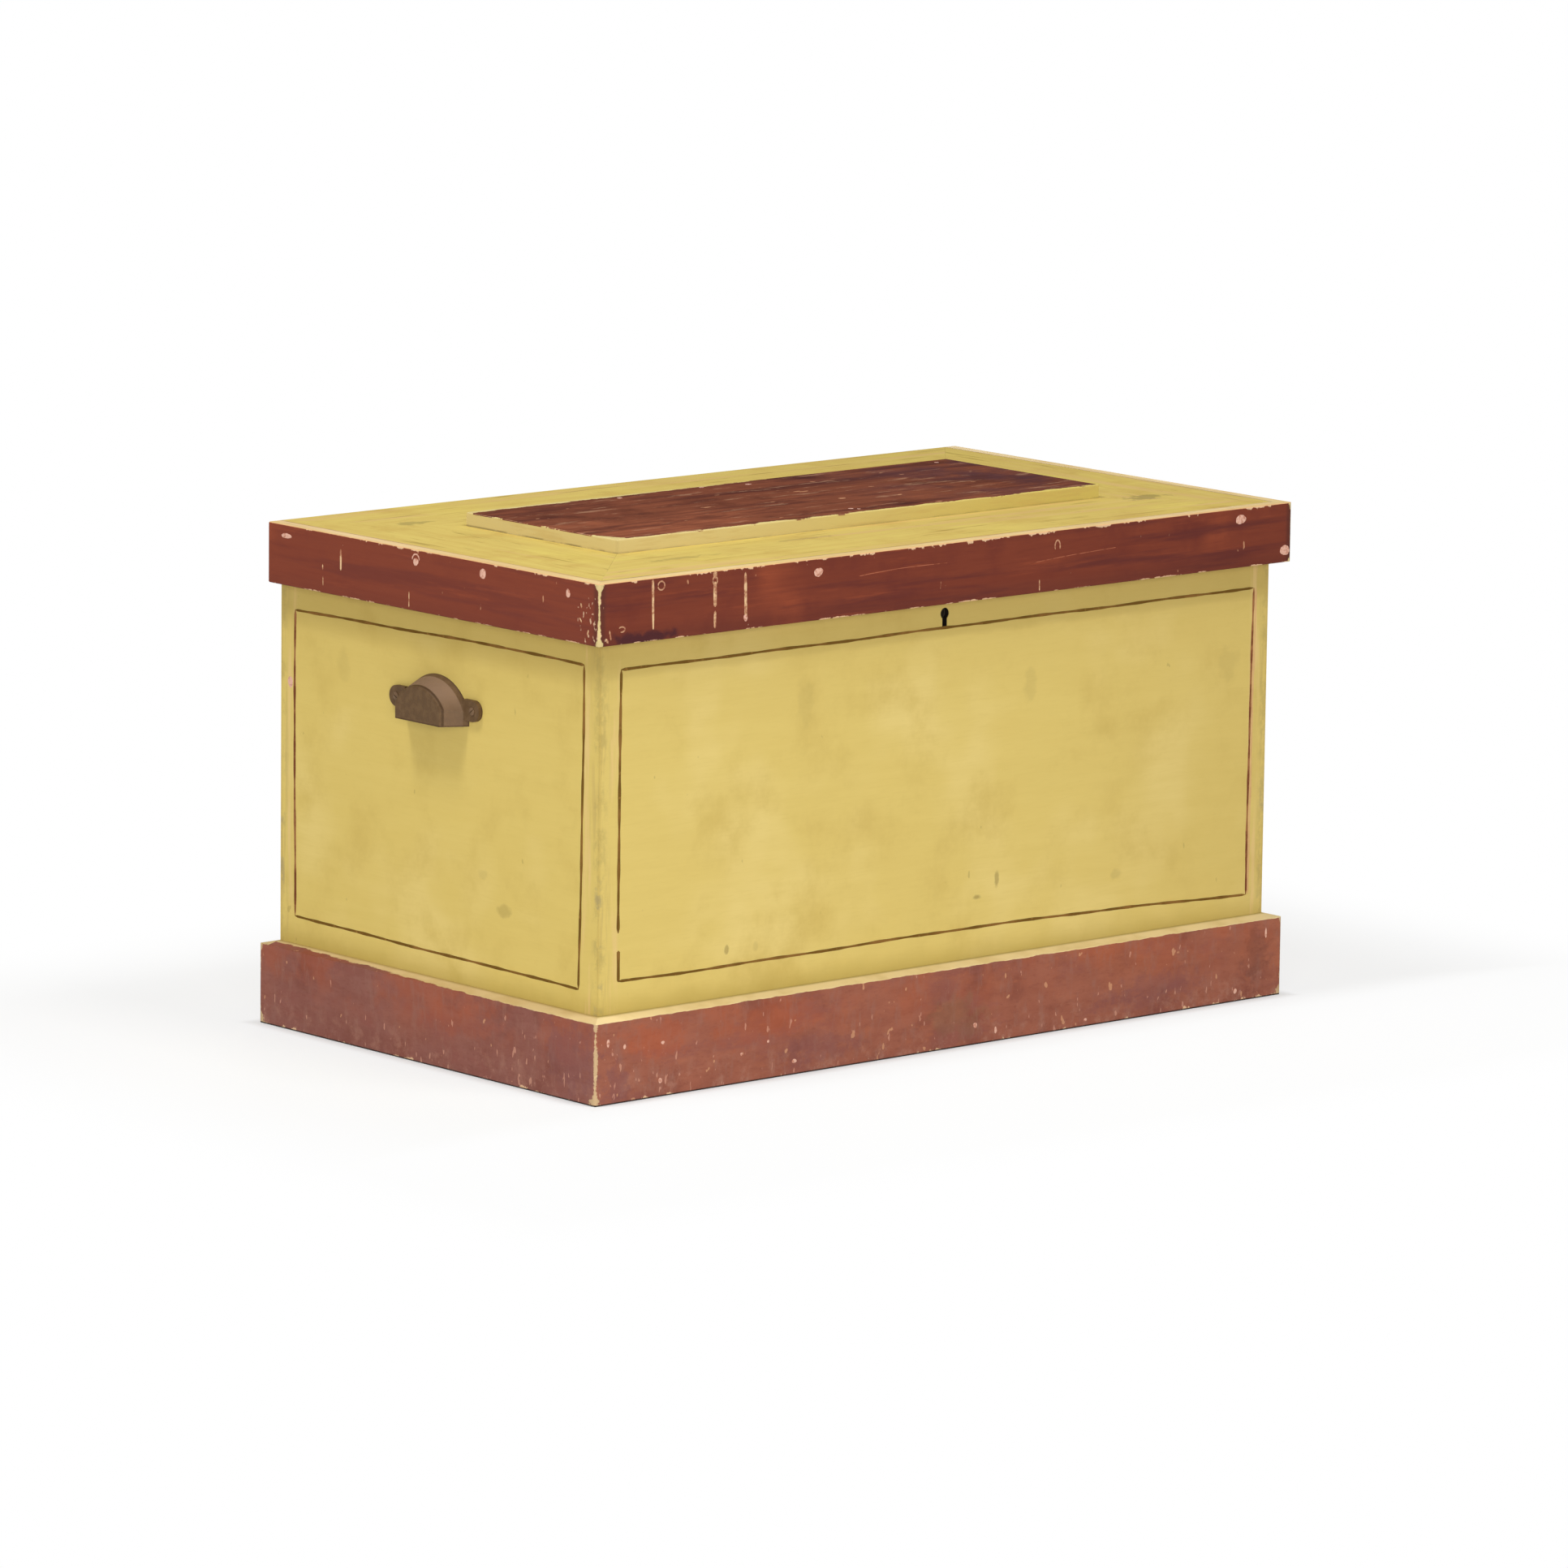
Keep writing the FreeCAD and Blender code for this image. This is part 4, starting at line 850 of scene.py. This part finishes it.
PANEL_TOP = ((-LID_X, LID_FRONT, FIELD_TOP), X, Y)


def outwards(face):
    """The face's outward direction, and whether its own two directions span the inward one."""
    origin, across, up = (np.array(part, float) for part in face)
    normal = np.cross(across, up)
    inwards = normal @ (origin - np.array((0.0, 0.0, 0.27))) <= 0
    return (-normal if inwards else normal), inwards


def on_face(face, u, v, lift, backwards=False):
    """Points at u along and v up the face, lifted off it, in rings that run the way that faces out."""
    origin, across, up = (np.array(part, float) for part in face)
    out, inwards = outwards(face)
    grid = origin + u[..., None] * across + v[..., None] * up + lift[..., None] * out
    return grid[:, ::-1] if inwards != backwards else grid


print("outwards", [outwards(face)[0].tolist() for face in (FRONT, LEFT, RIGHT, PANEL_TOP)])

# %% [markdown]
# The lines were drawn with a long brush. A texture mask would blur at this width, so each line is
# a ribbon about three millimetres wide and a tenth thick, carried along its path, whose width
# swells and thins as a hand-drawn line does, and which stops where the paint has worn off.
#
# %% Strokes
TAPER = 0.0015  # a ribbon narrows over this length at its ends
SLOW_WAVES, FAST_WAVES, DRIFT_WAVES = 90, 230, 35  # radians per metre of ribbon
DRIFT = 0.0003


def run_through(knots, steps):
    """Points spread evenly along straight runs between the knots, then rounded.

    The rounding is a moving average over a sixth of the length. The runs are mirrored through
    their end points first, so that the ends stay where they are.
    """
    knots = np.array(knots, float)
    chord = np.concatenate([[0.0], np.cumsum(np.hypot(*np.diff(knots, axis=0).T))])
    spread = np.linspace(0, chord[-1], steps)
    line = np.stack([np.interp(spread, chord, knots[:, k]) for k in (0, 1)], axis=-1)
    wide = steps // 12
    padded = np.concatenate([2 * line[0] - line[wide:0:-1], line, 2 * line[-1] - line[-2:-wide - 2:-1]])
    kernel = np.full(2 * wide + 1, 1 / (2 * wide + 1))
    return np.stack([np.convolve(padded[:, k], kernel, "valid") for k in (0, 1)], axis=-1)


def stroke(face, knots, half_width, phase, thickness=0.00012, steps=60, bow=0.0):
    """A ribbon along the knots, with a low flat mound as its cross-section.

    The half width is multiplied by 1 plus two sine waves of the length, and by a taper at the
    ends. The middle bows sideways by half a sine and drifts by a slow one.
    """
    middle = run_through(knots, steps)
    t = np.linspace(0, 1, steps)
    length = np.hypot(*np.diff(middle, axis=0).T).sum()
    along = np.gradient(middle, axis=0)
    along /= np.linalg.norm(along, axis=1, keepdims=True)
    wave = 1 + 0.16 * np.sin(length * SLOW_WAVES * t + phase)
    wave += 0.1 * np.sin(length * FAST_WAVES * t + 2 * phase)
    half = half_width * wave * np.clip(np.minimum(t, 1 - t) * length / TAPER, 0.25, 1)
    drift = bow * np.sin(math.pi * t) + DRIFT * np.sin(length * DRIFT_WAVES * t + phase)
    section = np.array([(-1, -0.2), (1, -0.2), (1, 0.3), (0.7, 1), (-0.7, 1), (-1, 0.3)])
    offset = drift[:, None] + half[:, None] * section[None, :, 0]
    u = middle[:, :1] - along[:, 1:] * offset
    v = middle[:, 1:] + along[:, :1] * offset
    return on_face(face, u, v, np.broadcast_to(thickness * section[None, :, 1], u.shape))


def mottled(name, base, *layers, specular=0.0, roughness=0.8):
    """One colour, and over it for each layer a noise, the step that cuts it, and its colour."""
    made, g, shader = new_material(name, specular)
    shade = base
    for noise, step, tone in layers:
        shade = g.mix(g.smooth(g.noise(g.place(), *noise), *step), shade, tone)
    shader["Roughness"].default_value = roughness
    g.feed(shader["Base Color"], shade)
    return made


# %% [markdown]
# The rectangle on the front and on each end is four strokes through knots along and up the face.
# The upright furthest from the camera is redder and thinner, with a faded line beside it in front.
#
# %% Painted lines
HALF, UPRIGHT_HALF, THIN_HALF, END_THIN_HALF, FADED_HALF = 0.0014, 0.0018, 0.0015, 0.0017, 0.0016
FADED_STEP, FADED_THICKNESS = 0.0030, 0.00008
FRONT_TOP = (
    (0.0268, 0.4419), (0.166, 0.4420), (0.369, 0.4423), (0.471, 0.4434), (0.674, 0.4433),
    (0.9090, 0.4440),
)
FRONT_FOOT = (
    (0.0266, 0.1220), (0.0410, 0.1207), (0.0573, 0.1210), (0.267, 0.1210), (0.471, 0.1219),
    (0.572, 0.1207), (0.674, 0.1190), (0.775, 0.1162), (0.817, 0.1146), (0.865, 0.1126),
    (0.9065, 0.1112),
)
FRONT_LEFT = ((0.0270, 0.4419), (0.0268, 0.355), (0.0259, 0.300), (0.0264, 0.1719))
FRONT_LEFT_FOOT = ((0.0264, 0.1539), (0.0266, 0.1214))
FRONT_RIGHT = ((0.9096, 0.4440), (0.9086, 0.354), (0.9073, 0.280), (0.9068, 0.1112))
END_TOP = (
    (0.0254, 0.4458), (0.096, 0.4474), (0.150, 0.4477), (0.258, 0.4464), (0.367, 0.4447),
    (0.4955, 0.4434),
)
END_FOOT = (
    (0.0305, 0.1122), (0.096, 0.1143), (0.205, 0.1144), (0.313, 0.1158), (0.422, 0.1172),
    (0.4944, 0.1186),
)
END_FRONT = ((0.0256, 0.4458), (0.0261, 0.356), (0.0276, 0.242), (0.0298, 0.160), (0.0305, 0.1122))
END_BACK = ((0.4952, 0.4436), (0.4964, 0.356), (0.4962, 0.280), (0.4944, 0.200), (0.4944, 0.1186))

line_paint = mottled(
    "line_paint",
    (114, 84, 38),
    ((18, 4, 0.6), (0.45, 0.62), (138, 100, 52)),
    ((150, 3, 0.6), (0.6, 0.72), (150, 112, 56)),
)
thin_line_paint = mottled("thin_line_paint", (120, 70, 46), ((40, 4, 0.7), (0.42, 0.6), (158, 108, 70)))
faded_line_paint = mottled("faded_line_paint", (208, 164, 112), ((40, 4, 0.7), (0.4, 0.6), (216, 176, 120)))


def draw_line(name, strokes, material):
    rings_mesh(name, strokes, material, "case")


front_lines = [
    stroke(FRONT, FRONT_TOP, HALF, 0.3, steps=180),
    stroke(FRONT, FRONT_FOOT, HALF, 1.1, steps=180),
    stroke(FRONT, FRONT_LEFT, UPRIGHT_HALF, 2.2),
    stroke(FRONT, FRONT_LEFT_FOOT, UPRIGHT_HALF, 0.7),
]
draw_line("front_painted_lines", front_lines, line_paint)
draw_line("front_thin_line", [stroke(FRONT, FRONT_RIGHT, THIN_HALF, 1.9)], thin_line_paint)
beside = [(u + FADED_STEP, v) for u, v in FRONT_RIGHT]
faded = stroke(FRONT, beside, FADED_HALF, 0.6, FADED_THICKNESS)
draw_line("front_faded_line", [faded], faded_line_paint)
for label, face in (("left", LEFT), ("right", RIGHT)):
    end_lines = [
        stroke(face, END_TOP, HALF, 0.9, steps=120),
        stroke(face, END_FOOT, HALF, 1.7, steps=120),
        stroke(face, END_FRONT, UPRIGHT_HALF, 2.4),
    ]
    draw_line(label + "_painted_lines", end_lines, line_paint)
    draw_line(label + "_thin_line", [stroke(face, END_BACK, END_THIN_HALF, 0.2)], thin_line_paint)

# %% [markdown]
# The skirt was nailed on and the heads filled, and the filler has lost its paint. Each is a low
# mound with a wobbly rim, or part of an oval ring where only the rim is left.
#
# %% Filled heads
SKIRT_FRONT_HEADS = [
    (0.2923, 0.5208, 0.0060, 0.0045),
    (0.8891, 0.5229, 0.0070, 0.0052),
    (0.9549, 0.4841, 0.0066, 0.0056),
    (0.1943, 0.4830, 0.0026, 0.0036),
]
SKIRT_FRONT_RINGS = [
    (0.0816, 0.5264, 0.0044, 0.0044, -3.1, 3.1),
    (0.1530, 0.5250, 0.0030, 0.0040, -3.1, 3.1),
    (0.6245, 0.5180, 0.0036, 0.0062, -0.5, 3.7),
    (0.0300, 0.4865, 0.0042, 0.0026, -2.0, 2.6),
]
SKIRT_LEFT_HEADS = [
    (0.5063, 0.5234, 0.0080, 0.0028),
    (0.2923, 0.5222, 0.0042, 0.0040),
    (0.1842, 0.5232, 0.0052, 0.0050),
    (0.0488, 0.5200, 0.0034, 0.0042),
]
SKIRT_LEFT_RINGS = [(0.2923, 0.5242, 0.0056, 0.0060, 0.0, 3.14)]


def blob(face, u, v, radius_u, radius_v, phase, height=0.0004):
    """A mound on a face.

    At radius share r and angle a the rim is scaled by 1 plus three small sines of 2a, 3a and 7a,
    and the height falls as the square root of 1 - r squared.
    """
    r = np.array([1.0, 1.0, 0.92, 0.7, 0.4, 0.12])
    rise = np.array([-0.25, 0.1, 0.39, 0.71, 0.92, 1.0])
    a = np.linspace(0, 2 * math.pi, 20, endpoint=False)
    rim = 1 + 0.06 * np.sin(2 * a + phase) + 0.05 * np.sin(3 * a + 2 * phase) + 0.03 * np.sin(7 * a + phase)
    du = u + radius_u * r[:, None] * rim * np.cos(a)
    dv = v + radius_v * r[:, None] * rim * np.sin(a)
    return on_face(face, du, dv, np.broadcast_to(height * rise[:, None], du.shape))


def loop(face, u, v, radius_u, radius_v, start, stop, half_width=0.0009, thickness=0.0003):
    """Part of an oval ring: a low mound carried round the angles from start to stop."""
    a = np.linspace(start, stop, 24)
    taper = np.clip(np.minimum(a - start, stop - a) / 0.25, 0.3, 1)
    section = np.array([(-1, -0.3), (1, -0.3), (0.6, 1), (-0.6, 1)])
    share = half_width * taper[:, None] * section[None, :, 0]
    du = u + (radius_u + share) * np.cos(a)[:, None]
    dv = v + (radius_v + share) * np.sin(a)[:, None]
    lift = np.broadcast_to(thickness * section[None, :, 1], du.shape)
    return on_face(face, du, dv, lift, backwards=True)


filler = mottled(
    "filler", (224, 176, 154), ((300, 3), (0.45, 0.65), (190, 126, 102)), specular=0.3, roughness=0.75
)
faded_filler = mottled(
    "faded_filler", (196, 148, 114), ((300, 3), (0.45, 0.65), (158, 100, 76)), specular=0.1
)
front_heads = [blob(SKIRT_FRONT, *head, phase) for phase, head in enumerate(SKIRT_FRONT_HEADS)]
front_rings = [loop(SKIRT_FRONT, *ring) for ring in SKIRT_FRONT_RINGS]
rings_mesh("skirt_front_filled_heads", front_heads, filler, "lid")
rings_mesh("skirt_front_filler_rings", front_rings, faded_filler, "lid")
for label, face in (("left", SKIRT_LEFT), ("right", SKIRT_RIGHT)):
    heads = [blob(face, *head, 2.0 + phase) for phase, head in enumerate(SKIRT_LEFT_HEADS)]
    heads += [loop(face, *ring) for ring in SKIRT_LEFT_RINGS]
    rings_mesh(f"skirt_{label}_filled_heads", heads, filler, "lid")

# %% [markdown]
# Knocks and drips are tapered strokes, and two long hairlines run level across the skirt. Each is
# in its place rather than left to a noise: its two ends and its half width.
#
# %% Scratches
FRONT_SCRATCHES = [
    ((0.0703, 0.5335), (0.0710, 0.4826), 0.0013),
    ((0.1528, 0.5346), (0.1530, 0.5270), 0.0024),
    ((0.1530, 0.5240), (0.1532, 0.4980), 0.0019),
    ((0.1532, 0.4940), (0.1534, 0.4760), 0.0015),
    ((0.1936, 0.5298), (0.1943, 0.4830), 0.0016),
    ((0.5993, 0.4847), (0.5996, 0.4730), 0.0006),
    ((0.0140, 0.4870), (0.0160, 0.4770), 0.0010),
    ((0.0090, 0.4790), (0.0120, 0.4740), 0.0012),
]
LEFT_SCRATCHES = [
    ((0.4155, 0.5203), (0.4153, 0.4983), 0.0012),
    ((0.4453, 0.5011), (0.4452, 0.4950), 0.0008),
    ((0.4454, 0.4880), (0.4452, 0.4790), 0.0007),
    ((0.3032, 0.4903), (0.3030, 0.4740), 0.0006),
    ((0.0283, 0.5127), (0.0270, 0.5080), 0.0010),
    ((0.0307, 0.4975), (0.0270, 0.4930), 0.0009),
    ((0.0165, 0.4870), (0.0185, 0.4810), 0.0011),
]
FAINT_SCRATCHES = [
    ((0.3482, 0.5117), (0.4696, 0.5146), 0.0004),
    ((0.5826, 0.5023), (0.7078, 0.5092), 0.0004),
]
scratch = mottled("scratch", (226, 188, 142), ((120, 4, 0.7), (0.4, 0.62), (170, 108, 78)), specular=0.3)
hairline = mottled("hairline", (166, 96, 70), ((60, 4, 0.7), (0.45, 0.6), (124, 62, 44)), specular=0.1)
for name, face, rows, phase_step, steps, bow, material in (
    ("skirt_front_scratches", SKIRT_FRONT, FRONT_SCRATCHES, 3.0, 40, 0.0, scratch),
    ("skirt_front_hairlines", SKIRT_FRONT, FAINT_SCRATCHES, 1.7, 80, 0.0012, hairline),
    ("skirt_left_scratches", SKIRT_LEFT, LEFT_SCRATCHES, 2.0, 30, 0.0, scratch),
):
    marks = [
        stroke(face, (first, last), width, phase_step * number, steps=steps, bow=bow)
        for number, (first, last, width) in enumerate(rows)
    ]
    rings_mesh(name, marks, material, "lid")

# %% [markdown]
# Chips show on the plinth, on the raised field and on the left end. They are half as high as a
# filled head.
#
# %% Chips
CHIP_HEIGHT = 0.0002
PLINTH_SPOTS = [
    (0.0168, 0.0640, 0.0018, 0.0042),
    (0.0387, 0.0579, 0.0016, 0.0028),
    (0.0896, 0.0558, 0.0024, 0.0018),
    (0.0865, 0.0168, 0.0026, 0.0026),
    (0.2315, 0.0394, 0.0015, 0.0015),
    (0.1955, 0.0305, 0.0018, 0.0016),
    (0.2674, 0.0143, 0.0032, 0.0022),
    (0.5186, 0.0207, 0.0026, 0.0030),
    (0.5477, 0.0121, 0.0018, 0.0036),
    (0.6760, 0.0072, 0.0022, 0.0016),
    (0.8948, 0.0116, 0.0024, 0.0028),
    (0.9390, 0.0700, 0.0013, 0.0060),
]
PANEL_SPOTS = [
    (0.3248, 0.3572, 0.0032, 0.0030),
    (0.4448, 0.3649, 0.0030, 0.0022),
    (0.5008, 0.3537, 0.0040, 0.0025),
    (0.7742, 0.3580, 0.0025, 0.0022),
    (0.4708, 0.1547, 0.0030, 0.0025),
    (0.4757, 0.1476, 0.0020, 0.0020),
]
END_SPOT = (0.5035, 0.366, 0.004, 0.006)
chips = [blob(PLINTH_FRONT, *spot, 1.3 * number, CHIP_HEIGHT) for number, spot in enumerate(PLINTH_SPOTS)]
rings_mesh("plinth_chips", chips, filler, "case")
rings_mesh("left_end_chip", [blob(LEFT, *END_SPOT, 0.4, CHIP_HEIGHT)], filler, "case")
chips = [blob(PANEL_TOP, *spot, 0.9 * number, CHIP_HEIGHT) for number, spot in enumerate(PANEL_SPOTS)]
rings_mesh("panel_chips", chips, filler, "lid")

# %% [markdown]
# Screws hold the handles, hinges and lock. A cylinder with a line on it is a stand-in, so each
# head is a real slotted dome: a square grid bent into a disc, whose height drops inside the slot.
#
# %% Screws
SLOT_HALF, SLOT_FLOOR, DOME_FALL, SEAT = 0.13, 0.15, 0.45, 0.0004


def screw_heads(name, places, outward, radius, height, body, material):
    """Slotted heads at the given places.

    Square coordinates p, q from -1 to 1 become a disc by x = p sqrt(1 - q^2/2) and
    y = q sqrt(1 - p^2/2). The height is 1 - 0.45 (x^2 + y^2) of the full one, and 0.15 of it
    where |q| is below 0.13, which is the slot. Four tenths of a millimetre stay in the seat.
    """
    lines = np.array([-1, -0.8, -0.55, -0.3, -0.14, -0.12, 0.12, 0.14, 0.3, 0.55, 0.8, 1.0])
    p, q = np.meshgrid(lines, lines, indexing="ij")
    x = p * np.sqrt(1 - q * q / 2)
    y = q * np.sqrt(1 - p * p / 2)
    rise = np.where(np.abs(q) < SLOT_HALF, SLOT_FLOOR, 1 - DOME_FALL * (x * x + y * y)) * height
    n = len(lines)
    index = np.arange(n * n).reshape(n, n)
    top = np.stack([index[:-1, :-1], index[1:, :-1], index[1:, 1:], index[:-1, 1:]], axis=-1).reshape(-1, 4)
    rim = np.concatenate([index[:, 0], index[-1, 1:], index[-2::-1, -1], index[0, -2:0:-1]])
    low = n * n + np.arange(len(rim))
    wall = np.stack([rim, low, np.roll(low, -1), np.roll(rim, -1)], axis=-1)
    out = np.array(outward, float)
    level = np.roll(out, 1)
    upright = np.cross(out, level)
    points, faces = [], []
    for number, place in enumerate(places):
        turn = 0.7 + 1.9 * number
        across = radius * (math.cos(turn) * level + math.sin(turn) * upright)
        up = radius * (math.cos(turn) * upright - math.sin(turn) * level)
        flat = (np.array(place) + x[..., None] * across + y[..., None] * up).reshape(-1, 3)
        base = number * (n * n + len(rim))
        faces += (base + top).tolist() + (base + wall).tolist() + [(base + low[::-1]).tolist()]
        points += [flat + rise.reshape(-1, 1) * out, flat[rim] - SEAT * out]
    new_piece(name, np.concatenate(points), faces, material, body)


screw_iron = iron_material("screw_iron", (88, 74, 58), (126, 112, 92), (96, 62, 40), 0.4)
PITCH = 0.0274
HINGE_SCREWS = [(x + step, 0.250, 0.513) for x in (-0.3355, 0.3355) for step in (-PITCH, 0.0, PITCH)]
LOCK_SCREWS = [(x, -0.2405, z) for x in (-0.0405, 0.0405) for z in (0.4405, 0.4965)]
STRIKE_SCREWS = [(-0.008, -0.2471, 0.513), (0.040, -0.2471, 0.513)]
FLUSH = 0.00015  # how far a countersunk head stands out
for label, sign in (("left", -1), ("right", 1)):
    ears = [(sign * 0.4705, y, 0.376) for y in (-0.062, 0.062)]
    name = label + "_handle_screws"
    screw_heads(name, ears, (sign, 0, 0), 0.0042, 0.0016, "case", handle_iron)
screw_heads("case_hinge_screws", HINGE_SCREWS, (0, 0, 1), 0.0036, FLUSH, "case", screw_iron)
screw_heads("lid_hinge_screws", HINGE_SCREWS, (0, 0, -1), 0.0036, FLUSH, "lid", screw_iron)
screw_heads("lock_screws", LOCK_SCREWS, (0, 1, 0), 0.0036, 0.0007, "case", screw_iron)
screw_heads("strike_screws", STRIKE_SCREWS, (0, 0, -1), 0.0034, FLUSH, "lid", screw_iron)

# %% [markdown]
# The chest stands on a pale floor that runs to the horizon. To the camera it glows white, less so
# round the chest's foot, where the contact shadow stays. More light would bleach the paint.
#
# %% Floor
FLOOR_REACH, FLOOR_LEVEL = 14.0, -0.0002
floor_mesh = bpy.data.meshes.new("floor")
corners = [(x * FLOOR_REACH, y * FLOOR_REACH, FLOOR_LEVEL) for x, y in ((-1, -1), (1, -1), (1, 1), (-1, 1))]
floor_mesh.from_pydata(corners, [], [(0, 1, 2, 3)])
floor = bpy.data.objects.new("floor", floor_mesh)
bpy.context.scene.collection.objects.link(floor)
floor_white, g, plain = new_material("floor_white", 0.0)
plain["Base Color"].default_value = (0.9, 0.9, 0.89, 1)
plain["Roughness"].default_value = 0.9
glow = g.node("Emission", (1, 1, 1, 1), 1.0)
x, y, z = g.parts(g.vector("ABSOLUTE", g.place()))
off_foot = g.most(g.minus(x, PLINTH_X), g.minus(y, PLINTH_Y))
before = g.smooth(g.parts(g.place())[1], -0.27, -0.35, 0.0, 0.2)
beyond = g.most(before, g.smooth(off_foot, 0.15, 0.5, 0.0, 0.28))
share = g.plus(g.smooth(off_foot, 0.0, 0.02, 0.3, 0.72), beyond)
seen = g.times(g.node("LightPath").outputs["Is Camera Ray"], share)
nodes = floor_white.node_tree.nodes
blend = g.node("MixShader", seen, nodes["Principled BSDF"].outputs[0], glow.outputs[0])
g.feed(nodes["Material Output"].inputs["Surface"], blend.outputs[0])
floor_mesh.materials.append(floor_white)
print("floor", 2 * FLOOR_REACH, "m wide at", FLOOR_LEVEL)

# %% [markdown]
# Two soft lights stand high beside the left end and the front, so steep that skirt and handle
# throw shadows about as long as in the photograph. A broad low one beside the camera fills them,
# and one behind lights the back for the other views.
#
# %% Light
world = bpy.data.worlds.new("studio")
world.use_nodes = True
bpy.context.scene.world = world
g = Graph(world.node_tree)
backdrop = world.node_tree.nodes["Background"].inputs
backdrop["Color"].default_value = (1, 1, 1, 1)
g.feed(backdrop["Strength"], g.smooth(g.node("LightPath").outputs["Is Camera Ray"], 0.0, 1.0, 0.2, 1.0))


def soft_light(name, place, target, size, watts):
    """A square area light that looks at a point."""
    data = bpy.data.lights.new(name, "AREA")
    data.size = size
    data.energy = watts
    lamp = bpy.data.objects.new(name, data)
    lamp.location = place
    lamp.rotation_mode = "QUATERNION"
    lamp.rotation_quaternion = (Vector(target) - Vector(place)).to_track_quat("-Z", "Y")
    bpy.context.scene.collection.objects.link(lamp)
    print(name, watts, "W")


CHEST_MIDDLE = (0, 0, 0.28)
soft_light("left_key", (-1.75, 0.05, 3.3), (-CASE_X, 0, 0.4), 0.8, 47)
soft_light("front_key", (0.05, -1.55, 3.3), (0, -CASE_Y, 0.4), 0.8, 41)
soft_light("camera_fill", (-5.6, -6.4, 1.6), CHEST_MIDDLE, 3.6, 390)
soft_light("far_fill", (5.4, 6.0, 1.2), CHEST_MIDDLE, 2.4, 235)
bpy.context.scene.view_settings.view_transform = "Standard"
